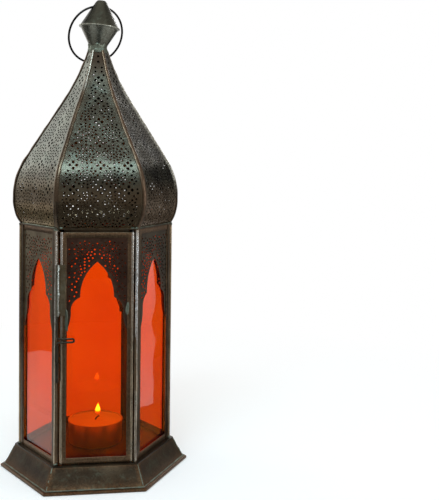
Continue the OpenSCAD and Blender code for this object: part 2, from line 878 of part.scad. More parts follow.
dome_rib(4);  // dome_rib_5
dome_rib(5);  // dome_rib_6
neck_collar();
finial_lower_cone();
finial_upper_cone();
hanging_ring();
tealight_cup();
tealight_wax();
tealight_wick();
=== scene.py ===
# %% [markdown]
# # A six-sided candle lantern with a pierced dome
#
# The lantern's measured parts already exist as plain solids. This lesson loads them as a fixed frame,
# makes the sheet metal, wire, wax and flame in full detail, and gives each its finish.
# Every size below is in millimetres and is turned into metres in one place, when a mesh is written.
# The door side faces -Y, +Z is up, and the origin is the middle of the foot's underside.

# %% Load the frame
import math

import bpy
import numpy as np
from mathutils import Matrix, Vector
from mathutils.geometry import delaunay_2d_cdt


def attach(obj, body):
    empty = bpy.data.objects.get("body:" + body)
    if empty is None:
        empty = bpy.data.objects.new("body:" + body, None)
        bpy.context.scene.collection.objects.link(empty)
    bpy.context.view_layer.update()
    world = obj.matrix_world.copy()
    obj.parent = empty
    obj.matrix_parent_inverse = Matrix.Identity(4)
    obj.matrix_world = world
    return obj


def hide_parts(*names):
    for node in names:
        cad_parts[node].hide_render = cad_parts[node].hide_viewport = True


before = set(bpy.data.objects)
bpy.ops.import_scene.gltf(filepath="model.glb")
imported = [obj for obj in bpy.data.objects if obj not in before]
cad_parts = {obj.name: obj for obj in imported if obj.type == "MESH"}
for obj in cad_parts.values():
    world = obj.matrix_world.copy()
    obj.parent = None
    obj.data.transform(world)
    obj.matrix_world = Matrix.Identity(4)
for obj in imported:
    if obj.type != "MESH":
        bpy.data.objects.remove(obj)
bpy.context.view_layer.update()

# %% [markdown]
# ## The camera
#
# The camera stands half a metre in front of the lantern, level with its shoulder, and looks a little to
# the right of it. The horizon lies above the middle of the picture. Most of that comes from a vertical
# lens shift, which keeps the posts upright, and the rest from a slight tilt down.

# %% Camera
CAMERA_PLACE = (-0.0023, -0.5792, 0.2178)
CAMERA_TURN, CAMERA_TILT, CAMERA_ROLL = (math.radians(a) for a in (-8.8284, -2.1996, 0.7266))
LENS, SENSOR, LENS_SHIFT = 58.384, 36, -0.12


def add_object(name, data):
    """A new object at the origin, linked into the scene."""
    made = bpy.data.objects.new(name, data)
    bpy.context.scene.collection.objects.link(made)
    return made


def camera_axes(turn, tilt, roll):
    """Right, up and backward unit vectors of a camera turned about Z, tilted about its right, then rolled."""
    ahead = np.array([-math.sin(turn) * math.cos(tilt), math.cos(turn) * math.cos(tilt), math.sin(tilt)])
    right = np.array([math.cos(turn), math.sin(turn), 0.0])
    up = np.cross(right, ahead)
    rolled = right * math.cos(roll) + up * math.sin(roll)
    return rolled, np.cross(rolled, ahead), -ahead


camera_data = bpy.data.cameras.new("camera")
camera_data.lens, camera_data.sensor_width, camera_data.shift_y = LENS, SENSOR, LENS_SHIFT
camera = add_object("camera", camera_data)
axes = np.array(camera_axes(CAMERA_TURN, CAMERA_TILT, CAMERA_ROLL)).T
camera.matrix_world = Matrix([[*row, place] for row, place in zip(axes, CAMERA_PLACE)] + [[0, 0, 0, 1]])
bpy.context.scene.camera = camera
print("camera at", [round(c, 3) for c in camera.location])

# %% [markdown]
# ## From arrays to a mesh
#
# Each new piece is worked out as whole numpy arrays: points in rows and columns, and faces that join
# neighbours. One helper numbers the faces of such a grid, one closes its ends with fans of triangles,
# and one turns the faces outwards, which it finds out by adding up the volume that they enclose.

# %% Grids of points
MM, CREASE = 0.001, math.radians(38)


def grid_faces(rows, columns, wrap_rows=False, wrap_columns=False):
    """Quads between neighbours in a grid numbered row by row; a wrapped way joins its last line to its first."""
    r = np.arange(rows if wrap_rows else rows - 1)[:, None]
    c = np.arange(columns if wrap_columns else columns - 1)[None, :]
    r_next, c_next = (r + 1) % rows, (c + 1) % columns
    corners = [r * columns + c, r * columns + c_next, r_next * columns + c_next, r_next * columns + c]
    return np.stack(corners, -1).reshape(-1, 4)


def tip_fans(rows, columns):
    """Triangles from a wrapped grid's first and last rows to two tips, whose points come after the grid's."""
    ring, last = np.arange(columns), (rows - 1) * columns
    following = np.roll(ring, -1)
    first_tip, last_tip = np.full(columns, rows * columns), np.full(columns, rows * columns + 1)
    return np.concatenate([
        np.column_stack([following, ring, first_tip]), np.column_stack([ring + last, following + last, last_tip])])


def enclosed(points, faces):
    """Six times the volume inside the faces: the sum over fans of triangles of a . (b x c)."""
    total = 0.0
    for i in range(1, faces.shape[1] - 1):
        a, b, c = points[faces[:, 0]], points[faces[:, i]], points[faces[:, i + 1]]
        total += np.einsum("ij,ij->", a, np.cross(b, c))
    return total


def facing_out(points, groups):
    """The groups as arrays, all turned round if the volume that they enclose comes out negative."""
    groups = [np.asarray(g) for g in groups if len(g)]
    centred = points - points.mean(0)
    if sum(enclosed(centred, g) for g in groups) < 0:
        groups = [g[:, ::-1] for g in groups]
    return groups


# %% [markdown]
# A finished piece becomes one object. It rides on the body that carries it and may stand in for a part
# of the frame. Edges sharper than 38 degrees stay crisp. One attribute says how much hands or tools have
# worn a piece, and on some pieces how strong a painted highlight is.

# %% Finished pieces
def make_piece(name, points, groups, finish, body, slot=None, stands_for=(), wear_and_highlight=None):
    """Writes points (mm) and groups of equal-sided faces as one object that rides on a body."""
    points = np.asarray(points, float).reshape(-1, 3)
    groups = facing_out(points, groups)
    mesh = bpy.data.meshes.new(name)
    mesh.vertices.add(len(points))
    mesh.vertices.foreach_set("co", (points * MM).ravel())
    sides = np.concatenate([np.full(len(g), g.shape[1]) for g in groups])
    corners = np.concatenate([g.ravel() for g in groups])
    mesh.loops.add(len(corners))
    mesh.loops.foreach_set("vertex_index", corners)
    mesh.polygons.add(len(sides))
    mesh.polygons.foreach_set("loop_start", np.concatenate([[0], np.cumsum(sides)[:-1]]))
    mesh.update(calc_edges=True)
    mesh.validate()
    mesh.shade_smooth()
    mesh.set_sharp_from_angle(angle=CREASE)
    # This attribute holds wear, and on some pieces the strength of a painted highlight.
    if wear_and_highlight is not None:
        layer = mesh.attributes.new("wear_and_highlight", "FLOAT", "POINT")
        layer.data.foreach_set("value", np.asarray(wear_and_highlight, np.float32).ravel())
    mesh.materials.append(finish)
    piece = add_object(name, mesh)
    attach(piece, body)
    if stands_for:
        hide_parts(*stands_for)
    return piece


def join(parts):
    """Joins closed (points, groups) pairs into one pair, with the later faces' numbers moved up."""
    points, groups, first = [], {}, 0
    for part_points, part_groups in parts:
        part_points = np.asarray(part_points, float).reshape(-1, 3)
        points.append(part_points)
        for g in facing_out(part_points, part_groups):
            groups.setdefault(g.shape[1], []).append(g + first)
        first += len(part_points)
    return np.concatenate(points), [np.concatenate(g) for g in groups.values()]


def turned(points, degrees):
    """Points turned about the upright axis."""
    c, s = math.cos(math.radians(degrees)), math.sin(math.radians(degrees))
    return np.asarray(points) @ np.array([[c, s, 0], [-s, c, 0], [0, 0, 1]])


# %% [markdown]
# ## Handmade unevenness
#
# Nothing on a lantern like this is dead straight: the sheet is cut, bent and soldered by hand. A sum of
# a few sine waves in seeded directions gives a smooth wobble that is the same on every run. It is used
# in fractions of a millimetre, so the pieces still meet.

# %% Ripple
def ripple(points, wavelength, amount, seed):
    """Sum of seven sine waves of about that wavelength (mm), scaled so that it stays near +-amount."""
    chance = np.random.default_rng(seed)
    waves = chance.normal(size=(7, 3))
    waves *= 2 * math.pi / wavelength * chance.uniform(0.6, 1.7, (7, 1)) / np.linalg.norm(waves, axis=1)[:, None]
    phases = chance.uniform(0, 2 * math.pi, 7)
    return amount * np.sin(np.asarray(points) @ waves.T + phases).sum(-1) / 2.6


# %% [markdown]
# ## Shader nodes
#
# A finish is a small network of nodes. A few helpers make the nodes that are needed again and again, and
# each takes either a plain value or another node's output for its inputs.

# %% Small shader nodes
def feed(tree, made, inputs):
    """Feeds a node's inputs, given by name or number: an output is linked, and a plain value is written."""
    for key, value in inputs.items():
        if isinstance(value, bpy.types.NodeSocket):
            tree.links.new(value, made.inputs[key])
        else:
            made.inputs[key].default_value = value


def node(tree, kind, inputs=None, **settings):
    """A new node with its settings and its inputs."""
    made = tree.nodes.new(kind)
    for key, value in settings.items():
        setattr(made, key, value)
    feed(tree, made, inputs or {})
    return made


def math_node(tree, operation, a, b):
    """The result of a calculation with two numbers, kept between 0 and 1."""
    return node(tree, "ShaderNodeMath", {0: a, 1: b}, operation=operation, use_clamp=True).outputs[0]


def mix_colour(tree, share, a, b):
    """Colour a where share is 0, b where it is 1."""
    return node(tree, "ShaderNodeMix", {0: share, 6: a, 7: b}, data_type="RGBA").outputs[2]


def mix_number(tree, share, a, b):
    """Number a where share is 0, b where it is 1."""
    return node(tree, "ShaderNodeMix", {0: share, 2: a, 3: b}).outputs[0]


def spread(tree, value, low, high, to_low=0.0, to_high=1.0):
    """Stretches low..high to 0..1, or to the other two numbers, and clamps it."""
    return node(tree, "ShaderNodeMapRange", {
        "Value": value, "From Min": low, "From Max": high, "To Min": to_low, "To Max": to_high,
    }).outputs["Result"]


def noise(tree, place, scale, detail=3.0, roughness=0.55, distortion=0.0):
    """Cloudy noise of about that many blobs to the metre."""
    return node(tree, "ShaderNodeTexNoise", {
        "Vector": place, "Scale": scale, "Detail": detail, "Roughness": roughness, "Distortion": distortion,
    }).outputs["Fac"]


def object_place(tree):
    """The place on the object, in metres."""
    return tree.nodes.new("ShaderNodeTexCoord").outputs["Object"]


def split(tree, place):
    """A place's X, Y and Z, by name."""
    return node(tree, "ShaderNodeSeparateXYZ", {0: place}).outputs


# %% [markdown]
# ## Patinated metal
#
# The sheet is thin, tinned steel with a bronze-brown patina: dark in the hollows, greenish grey where
# solder and flux have run, and coppery where hands have worn it. On a few metals that colour is near
# white instead and paints a highlight. One node group mixes these from a few noise patterns on object
# coordinates, and each metal places it with its own colours. The group gives a colour, a roughness and
# a height; the shader itself stays in each material.

# %% Patina group
def group_socket(group, name, kind, in_out, value=None):
    """A named input or output of a node group, with its value if it has one."""
    socket = group.interface.new_socket(name=name, in_out=in_out, socket_type=kind)
    if value is not None:
        socket.default_value = value


patina = bpy.data.node_groups.new("patina", "ShaderNodeTree")
for socket_name, default in (
    ("Dark", (0.05, 0.04, 0.03, 1)), ("Light", (0.12, 0.1, 0.08, 1)),
    ("Wear and highlight colour", (0.4, 0.25, 0.15, 1)), ("Bloom colour", (0.2, 0.23, 0.19, 1)),
):
    group_socket(patina, socket_name, "NodeSocketColor", "INPUT", default)
for socket_name, default in (
    ("Wear and highlight", 0.0), ("Wear and highlight amount", 0.5), ("Bloom amount", 0.5), ("Smooth", 0.3), ("Rough", 0.5),
):
    group_socket(patina, socket_name, "NodeSocketFloat", "INPUT", default)
for socket_name, kind in (("Colour", "Color"), ("Roughness", "Float"), ("Height", "Float")):
    group_socket(patina, socket_name, "NodeSocket" + kind, "OUTPUT")

given = patina.nodes.new("NodeGroupInput").outputs
place = object_place(patina)
clouds = noise(patina, place, 55, 5, 0.6, 0.4)
stains = noise(patina, place, 130, 4, 0.65, 1.2)
specks = noise(patina, place, 900, 3, 0.6)
grain = noise(patina, place, 2600, 2, 0.5)
body_colour = mix_colour(patina, spread(patina, clouds, 0.36, 0.66), given["Dark"], given["Light"])
bloom_mask = math_node(patina, "MULTIPLY", spread(patina, stains, 0.52, 0.72), given["Bloom amount"])
with_bloom = mix_colour(patina, bloom_mask, body_colour, given["Bloom colour"])
# This mask mixes in the third colour: wear, and on some metals a painted highlight.
wear_and_highlight_noise = math_node(patina, "ADD", spread(patina, specks, 0.35, 0.75), 0.35)
wear_and_highlight_mask = math_node(patina, "MULTIPLY", given["Wear and highlight"], wear_and_highlight_noise)
wear_and_highlight_mask = math_node(patina, "MULTIPLY", wear_and_highlight_mask, given["Wear and highlight amount"])
with_wear_and_highlight = mix_colour(patina, wear_and_highlight_mask, with_bloom, given["Wear and highlight colour"])
mottle = node(patina, "ShaderNodeHueSaturation", {
    "Color": with_wear_and_highlight, "Value": spread(patina, specks, 0.3, 0.7, 0.86, 1.14)})
height = math_node(
    patina, "ADD", math_node(patina, "MULTIPLY", clouds, 0.6), math_node(patina, "MULTIPLY", specks, 0.25))
feed(patina, patina.nodes.new("NodeGroupOutput"), {
    "Colour": mottle.outputs["Color"],
    "Roughness": mix_number(patina, spread(patina, stains, 0.35, 0.7), given["Smooth"], given["Rough"]),
    "Height": math_node(patina, "ADD", height, math_node(patina, "MULTIPLY", grain, 0.1)),
})
print("patina group:", len(patina.nodes), "nodes")

# %% [markdown]
# ## The metals
#
# Each metal is the patina group with its own four colours. The colours are written as they are seen on
# a screen and turned into light values once. Metal shows its surroundings, so its colour here is a
# little lighter than what the picture shows. Over part of its height a metal may be tinted, as the dome
# is brown at its foot, or dulled, as the heat of soldering has done at its neck. One pale tint on the
# left gore is a painted band of light.

# %% Metals
def light_value(red, green, blue):
    """A screen colour from 0..255 as light values: ((c + 0.055) / 1.055) ** 2.4 above a small linear foot."""
    c = np.array([red, green, blue]) / 255
    linear = np.where(c > 0.04045, ((c + 0.055) / 1.055) ** 2.4, c / 12.92)
    return (*(float(x) for x in linear), 1.0)


BURNT_ROUGHNESS = 0.62


def new_finish(name):
    """A new material with its tree and its shader."""
    finish = bpy.data.materials.new(name)
    finish.use_nodes = True
    return finish, finish.node_tree, finish.node_tree.nodes["Principled BSDF"]


def metal(name, dark, light, wear_and_highlight, bloom, wear_and_highlight_amount, bloom_amount, smooth, rough, metallic=0.85, bump=0.25,
          tints=(), burnt=None):
    """The patina group with its colours.

    A tint is (colour, height where it is full, height where it ends); a fifth of the patina shows through it.
    Burnt is the two heights between which the metal goes from dull to its own roughness.
    """
    finish, tree, shader = new_finish(name)
    look = node(tree, "ShaderNodeGroup", node_tree=patina)
    feed(tree, look, {
        "Dark": light_value(*dark), "Light": light_value(*light), "Wear and highlight colour": light_value(*wear_and_highlight),
        "Bloom colour": light_value(*bloom), "Wear and highlight amount": wear_and_highlight_amount, "Bloom amount": bloom_amount,
        "Smooth": smooth, "Rough": rough,
        "Wear and highlight": node(tree, "ShaderNodeAttribute", attribute_name="wear_and_highlight").outputs["Fac"],
    })
    colour, roughness = look.outputs["Colour"], look.outputs["Roughness"]
    height = split(tree, object_place(tree))["Z"] if tints or burnt else None
    for tint, full, ends in tints:
        faded = math_node(tree, "ADD", spread(tree, height, full * MM, ends * MM), 0.2)
        colour = mix_colour(tree, faded, light_value(*tint), colour)
    if burnt:
        roughness = mix_number(tree, spread(tree, height, burnt[1] * MM, burnt[0] * MM), roughness, BURNT_ROUGHNESS)
    dents = node(tree, "ShaderNodeBump", {"Strength": bump, "Distance": 0.0012, "Height": look.outputs["Height"]})
    feed(tree, shader, {
        "Base Color": colour, "Roughness": roughness, "Metallic": metallic, "Normal": dents.outputs["Normal"]})
    return finish


# %% [markdown]
# The table lists each metal's dark, light, wear-and-highlight and bloom colours, how strong wear and
# highlight and bloom are, and its roughness where it is smooth and where it is rough. Four of them also
# say how metallic and how bumpy they are. The dome's gores share their colours, and three of them
# differ: the front one has the burnt neck, the one on its right has a painted highlight along its edge,
# and the one on its left has a painted band of light at the foot.

# %% Table of metals
METALS = {
    "finial_dark": ((50, 48, 39), (69, 67, 56), (110, 104, 88), (84, 90, 78), 0.5, 0.4, 0.22, 0.34, 0.85, 0.12),
    # The finial's pale third colour is wear and a painted highlight on the rim.
    "finial": ((92, 88, 76), (122, 121, 108), (196, 196, 182), (140, 148, 136), 0.7, 0.5, 0.24, 0.38),
    "skirt": ((46, 36, 26), (66, 53, 39), (122, 86, 56), (88, 94, 78), 0.6, 0.35, 0.3, 0.45),
    "frame": ((62, 51, 39), (92, 78, 61), (138, 107, 80), (96, 100, 86), 0.65, 0.45, 0.28, 0.42),
    "plate": ((60, 51, 42), (86, 76, 62), (118, 100, 80), (94, 96, 82), 0.5, 0.4, 0.32, 0.48),
    # This paler copy of the plate's colours is painted light, for the left side's plate and the latch's strap.
    "plate_painted_light": ((98, 85, 66), (132, 119, 97), (132, 118, 96), (112, 116, 100), 0.5, 0.5, 0.32, 0.48),
    "door_plate": ((60, 41, 33), (86, 62, 50), (112, 82, 62), (84, 76, 64), 0.5, 0.3, 0.34, 0.5),
    "seam": ((66, 53, 41), (94, 78, 62), (120, 92, 72), (98, 98, 84), 0.4, 0.35, 0.26, 0.4),
    # The next row's near-white third colour paints the highlight on two seams.
    "seam_painted_highlight": ((66, 53, 41), (94, 78, 62), (222, 218, 206), (98, 98, 84), 0.9, 0.35, 0.2, 0.34),
    # The bead's near-white third colour paints the highlight on the beads and the door's rolled edges.
    "bead": ((132, 110, 84), (176, 152, 120), (244, 248, 252), (126, 132, 118), 1.0, 0.4, 0.16, 0.28, 0.85, 0.05),
    "solder": ((92, 96, 84), (124, 130, 116), (150, 152, 138), (110, 126, 114), 0.5, 0.7, 0.32, 0.55, 0.8, 0.5),
    # The crust's near-white third colour is tin and a painted highlight.
    "crust": ((90, 82, 70), (120, 112, 98), (226, 236, 230), (98, 100, 86), 1.0, 0.4, 0.24, 0.4, 0.85, 0.4),
    "wire": ((30, 28, 27), (46, 43, 41), (80, 74, 68), (54, 54, 50), 0.4, 0.3, 0.3, 0.45),
    "latch": ((48, 42, 35), (72, 64, 53), (106, 94, 78), (84, 88, 76), 0.5, 0.4, 0.28, 0.45),
}
METAL = {name: metal(name + "_metal", *row) for name, row in METALS.items()}

DOME_ROW = (51, 46, 37), (70, 68, 58), (98, 86, 70), (85, 93, 84), 0.6, 0.5, 0.18, 0.3
# The right front gore's row has a near-white third colour: it paints a highlight along that gore's right edge.
DOME_HIGHLIGHT_ROW = (40, 36, 29), (84, 80, 68), (246, 246, 240), (85, 93, 84), 1.3, 0.5, 0.18, 0.3
BROWN_FOOT = (124, 102, 78), 176, 208
dome_metal = metal("dome_metal", *DOME_ROW, tints=[BROWN_FOOT])
gore_metals = {
    0: metal("dome_front_metal", *DOME_ROW, tints=[BROWN_FOOT, ((60, 41, 28), 286, 262)], burnt=(284, 260)),
    1: metal("dome_right_highlight_metal", *DOME_HIGHLIGHT_ROW, tints=[((156, 130, 104), 176, 210)]),
    # The left gore's second, paler tint is a painted band of light at its foot.
    5: metal("dome_left_metal", *DOME_ROW, tints=[((124, 104, 78), 178, 212), ((182, 156, 118), 179, 191)]),
}
print("metals:", len([m for m in bpy.data.materials if m.name.endswith("_metal")]))

# %% [markdown]
# ## The hexagon
#
# The lantern's plan is a hexagon, so most pieces are made once for the door's side and turned by 60
# degrees. A folded edge has a small round at each corner. A ring of points round the hexagon, at a
# distance from the axis measured square to the flats, gives rounded corners and straight flats.

# %% Hexagon ring
TURN, HALF, FIRST_CORNER = 60.0, math.radians(30), -120
BODY_R = 52.7
FLAT = BODY_R * math.cos(HALF)
FLOOR_Z, PLATE_Z, DOME_Z = 15.9, 170.7, 171.5
SHEET = 0.6


def circle(angles, radius=1.0):
    """Points (radius cos a, radius sin a) at those angles in radians."""
    return radius * np.stack([np.cos(angles), np.sin(angles)], 1)


def hexagon(apothem, bend, per_side=20, per_corner=5):
    """Points round a hexagon: for each corner an arc of that bend, then the flat up to the next corner."""
    arcs = []
    for k in range(6):
        middle = math.radians(FIRST_CORNER + TURN * k)
        corner = (apothem - bend) / math.cos(HALF) * np.array([math.cos(middle), math.sin(middle)])
        arcs.append(corner + circle(middle + np.linspace(-HALF, HALF, per_corner), bend))
    share = np.linspace(0, 1, per_side + 2)[1:-1, None]
    flats = [a[-1] + share * (b[0] - a[-1]) for a, b in zip(arcs, arcs[1:] + arcs[:1])]
    return np.concatenate([part for pair in zip(arcs, flats) for part in pair])


def at_height(ring, z):
    """Plan points (x, y) set at height z."""
    return np.column_stack([ring, np.full(len(ring), z)])


# %% [markdown]
# Three small measures serve all pieces: how near a point is to an edge that gets worn, how near it is
# to a corner of the hexagon, and which way leads straight out from the axis.

# %% Measures
def fade(distance, reach):
    """1 at no distance, falling evenly to 0 at reach (mm)."""
    return np.clip(1 - distance / reach, 0, 1)


def corner_nearness(points, reach):
    """1 on the hexagon's corners and 0 beyond reach (mm) from them, measured along the flat."""
    angle = np.degrees(np.arctan2(points[..., 1], points[..., 0]))
    away = np.abs((angle + 30) % TURN - 30)
    return fade(np.linalg.norm(points[..., :2], axis=-1) * np.sin(np.radians(away)), reach)


def outwards(points):
    """Level vectors of length 1 from the axis towards each point."""
    return points * [1, 1, 0] / np.linalg.norm(points[..., :2], axis=-1)[..., None]


# %% [markdown]
# ## The skirt
#
# The foot is one strip of sheet folded into six sloped faces, flared out at the bottom into a flat lip
# whose edge is turned under. A closed outline of that strip, in distance from the axis and height, is
# carried round the hexagon. The wide faces get a slight wobble, as beaten sheet has.

# %% Skirt
SKIRT = [
    (54.1, 0.0), (55.5, 0.0), (56.6, 0.0), (57.0, 0.35), (57.07, 1.0), (56.95, 1.6), (56.5, 1.95), (55.6, 2.0),
    (55.05, 2.05), (54.6, 2.35), (54.3, 2.9), (53.0, 5.5), (51.5, 8.6), (50.0, 11.65), (48.9, 13.9), (48.36, 15.02),
    (47.7, 15.08), (47.5, 14.9), (48.9, 12.1), (50.4, 9.0), (51.9, 6.0), (53.3, 3.1), (53.9, 2.0), (54.0, 1.0),
]
skirt_points = np.array([at_height(hexagon(apothem, 1.1), z) for apothem, z in SKIRT])
rise = skirt_points[..., 2]
on_faces = np.clip((rise - 2.2) / 4, 0, 1) * np.clip((14.8 - rise) / 3, 0, 1)
wobble = ripple(skirt_points, 34, 0.16, 3) * on_faces
skirt_points = skirt_points + outwards(skirt_points) * wobble[..., None]
skirt_worn = np.maximum(corner_nearness(skirt_points, 2.2), fade(rise - 2.0, 4.5) * 0.8)
skirt_worn = np.maximum(skirt_worn, np.clip((rise - 13.6) / 1.4, 0, 1) * 0.6)
make_piece("skirt", skirt_points, [grid_faces(*skirt_points.shape[:2], True, True)], METAL["skirt"], "lantern",
           "bronze_sheet", ["base_skirt"], skirt_worn)
print("skirt:", skirt_points.shape)

# %% [markdown]
# ## Solder
#
# Every seam of the lantern is run with solder, which stands up as a rough, grey-green line. A bead is a
# tube along the seam whose radius rises and falls. The same tube also serves for every wire: each ring
# of points lies across the path, in the plane of the path's normal and a given fixed direction.

# %% Tubes along a path
def tube(path, radius, fixed, sides=12, closed=False):
    """Rings of radius about each path point: point + r (cos a (t x f) + sin a f), with t the path's direction."""
    path = np.asarray(path, float)
    if closed:
        along = np.roll(path, -1, 0) - np.roll(path, 1, 0)
    else:
        along = np.gradient(path, axis=0)
    along /= np.linalg.norm(along, axis=1)[:, None]
    across = np.cross(along, np.broadcast_to(np.asarray(fixed, float), path.shape))
    across /= np.linalg.norm(across, axis=1)[:, None]
    upright = np.cross(across, along)
    a = np.linspace(0, 2 * math.pi, sides, endpoint=False)[:, None]
    radius = np.broadcast_to(np.asarray(radius, float), (len(path),))[:, None, None]
    points = (path[:, None] + radius * (across[:, None] * np.cos(a) + upright[:, None] * np.sin(a))).reshape(-1, 3)
    faces = grid_faces(len(path), sides, closed, True)
    if closed:
        return points, [faces]
    return np.concatenate([points, path[:1], path[-1:]]), [faces, tip_fans(len(path), sides)]


def along_hexagon(apothem, z, bend=1.0, per_side=70):
    """A seam's path round the hexagon at one height."""
    return at_height(hexagon(apothem, bend, per_side, 6), z)


def solder_bead(path, radius, seed, closed=True, fixed=(0, 0, 1), sides=8):
    """A tube whose radius swings between about half and one and a half of the given one."""
    path = np.asarray(path, float)
    size = radius * (1 + np.clip(ripple(path, 7, 0.35, seed) + ripple(path, 2.2, 0.25, seed + 1), -0.5, 0.6))
    return tube(path, size, fixed, sides, closed)


seams = [
    solder_bead(along_hexagon(54.75, 2.25), 0.42, 11),
    solder_bead(along_hexagon(47.9, 15.15), 0.26, 12),
]
low, high = np.array([54.6 / math.cos(HALF) - 0.35, 2.2]), np.array([48.36 / math.cos(HALF) - 0.35, 15.0])
corner_line = low + np.linspace(0, 1, 30)[:, None] * (high - low)
for k in range(6):
    corner = math.radians(FIRST_CORNER + TURN * k)
    r, z = corner_line.T
    run = np.column_stack([r * math.cos(corner), r * math.sin(corner), z])
    seams.append(solder_bead(run, 0.42, 20 + k, False, (-math.sin(corner), math.cos(corner), 0)))
make_piece("foot_solder", *join(seams), METAL["solder"], "lantern", "solder")
print("foot solder:", len(seams), "beads")

# %% [markdown]
# ## The corner posts
#
# A post is one strip folded round the corner, with its middle pinched into a bead. Its section is drawn
# as pairs of points, outside and inside, from the free edge of one wing, round the bead, to the free
# edge of the other. Carried up the corner it gives both skins, and the pairs close the two ends. The
# wings beside the door are narrower, and the first post's stops short of the top plate.

# %% Posts
BEAD_R, BEAD_AT = 1.0, BODY_R - 0.4
WINGS = {1: (4.3, 1.9), 2: (0.9, 4.3), 3: (4.3, 4.3), 4: (4.3, 4.3), 5: (4.3, 4.3), 6: (4.3, 4.3)}
SHORT_WING = 4.0


def post_section(before, after):
    """Rows (outside, inside) in the corner's own plan: the corner lies on -Y, and each wing follows its flat."""
    wings = []
    for side, wing in ((-1, before), (1, after)):
        reach = np.linspace(wing, 1.15, 5)[:, None]
        outside = np.array([0, -BODY_R]) + reach * [side * math.cos(HALF), math.sin(HALF)]
        wings.append((outside, outside + SHEET * np.array([-side * math.sin(HALF), math.cos(HALF)])))
    (left_out, left_in), (right_out, right_in) = wings
    swing = np.radians(np.linspace(180 + 40, 360 - 40, 13))
    bead, core = ([0, -BEAD_AT] + circle(swing, r) for r in (BEAD_R, 0.45 * BEAD_R))
    return np.concatenate([left_out, bead, right_out[::-1]]), np.concatenate([left_in, core, right_in[::-1]])


def strip_faces(rows, pairs):
    """Faces of a strip whose section has that many (outside, inside) pairs, with quads over its two ends."""
    j = np.arange(pairs - 1)
    cap = np.column_stack([j, 2 * pairs - 1 - j, 2 * pairs - 2 - j, j + 1])
    return [grid_faces(rows, 2 * pairs, False, True), np.concatenate([cap, cap[:, ::-1] + (rows - 1) * 2 * pairs])]


def strip_up(outer, inner, heights, bow=0.0, seed=0):
    """Carries a strip's section up to each height, bowed sideways by a ripple."""
    layers = np.array([at_height(np.concatenate([outer, inner[::-1]]), z) for z in heights])
    layers[..., 0] += ripple(np.column_stack([heights * 0, heights * 0, heights]), 70, bow, seed)[:, None]
    return layers.reshape(-1, 3), strip_faces(len(heights), len(outer))


for k, (before, after) in WINGS.items():
    points, faces = strip_up(*post_section(before, after), np.linspace(FLOOR_Z, PLATE_Z, 50), 0.1, k)
    if k == 1:
        beside_door = points[:, 0] > 0.9
        points[beside_door, 2] = np.minimum(points[beside_door, 2], PLATE_Z - SHORT_WING)
    at_bead = np.exp(-(points[:, 0] ** 2 + (points[:, 1] + BEAD_AT) ** 2) / 2.2)
    near_end = fade(np.minimum(points[:, 2] - FLOOR_Z, PLATE_Z - points[:, 2]), 8)
    make_piece("corner_post_strip_%d" % k, turned(points, TURN * (k - 1) - 30), faces, METAL["frame"], "lantern",
               "bronze_sheet", ["corner_post_%d" % k], np.clip(at_bead + 0.6 * near_end, 0, 1))
print("posts:", len(WINGS))

# %% [markdown]
# The bead itself is polished by handling and catches the light as a bright line, so it is a separate
# thin tube over the fold, in a brighter metal. Beside the door its upper part has a painted highlight,
# full on the right post and half as strong on the left. Lumps of solder hold each post to the floor and the top.

# %% Beads and solder lumps
def lump(centre, size, seed, rows=9, columns=12):
    """A ball stretched to size (x, y, z) and pushed in and out by a ripple; the poles are single points."""
    polar = np.linspace(0, math.pi, rows)[1:-1, None]
    a = np.linspace(0, 2 * math.pi, columns, endpoint=False)[None, :]
    ball = np.stack([np.sin(polar) * np.cos(a), np.sin(polar) * np.sin(a), np.cos(polar) + 0 * a], -1)
    ball = np.concatenate([ball.reshape(-1, 3), [[0, 0, 1], [0, 0, -1]]])
    ball = ball * (1 + ripple(ball + seed, 1.6, 0.22, seed))[:, None]
    return ball * size + centre, [grid_faces(rows - 2, columns, False, True), tip_fans(rows - 2, columns)]


# Painted highlight on the two beads beside the door: a share for each post, and its strength along the height.
BEAD_HIGHLIGHT = {0: 0.5, 1: 1.0}
HIGHLIGHT_HEIGHTS, HIGHLIGHT_SHARES = [85, 125, 165, 170], [0.2, 1.0, 0.9, 0.3]
beads, bead_highlight, lumps = [], [], []
heights = np.linspace(FLOOR_Z + 0.3, PLATE_Z - 0.3, 60)
for k in range(6):
    line = np.column_stack([heights * 0, heights * 0 - BEAD_AT - 0.12, heights])
    line[:, 0] += ripple(line, 70, 0.1, k + 1) + ripple(line, 18, 0.03, k + 9)
    bead_points, bead_faces = tube(line, 0.95, (0, -1, 0), 14)
    beads.append((turned(bead_points, TURN * k - 30), bead_faces))
    bead_highlight.append(BEAD_HIGHLIGHT.get(k, 0.0) * np.interp(bead_points[:, 2], HIGHLIGHT_HEIGHTS, HIGHLIGHT_SHARES))
    size = (1.0, 0.8, 0.8) if k == 1 else (1.5, 1.1, 0.9)
    for z, seed in ((FLOOR_Z + 0.5, 40 + k), (PLATE_Z - 0.4, 50 + k)):
        blob, blob_faces = lump((0.4 * math.sin(seed), -BEAD_AT - 0.1, z), size, seed)
        lumps.append((turned(blob, TURN * k - 30), blob_faces))
make_piece("corner_beads", *join(beads), METAL["bead"], "lantern", "bronze_sheet", wear_and_highlight=np.concatenate(bead_highlight))
make_piece("post_solder", *join(lumps), METAL["solder"], "lantern", "solder")
print("beads:", len(beads), "lumps:", len(lumps))

# %% [markdown]
# ## Folded frames
#
# A pane sits in a channel: a flange in front, a web round its edge and a lip behind, all of one strip
# mitred at the corners. Each point of the strip's section is carried round its own rectangle. The
# flange's inner edge has its own distance on each side. Three panes were set a little to one side, as
# the photograph shows, so their two stiles differ.

# %% Folded frames
CHANNEL_DEPTH, LIP = 3.9, 1.8


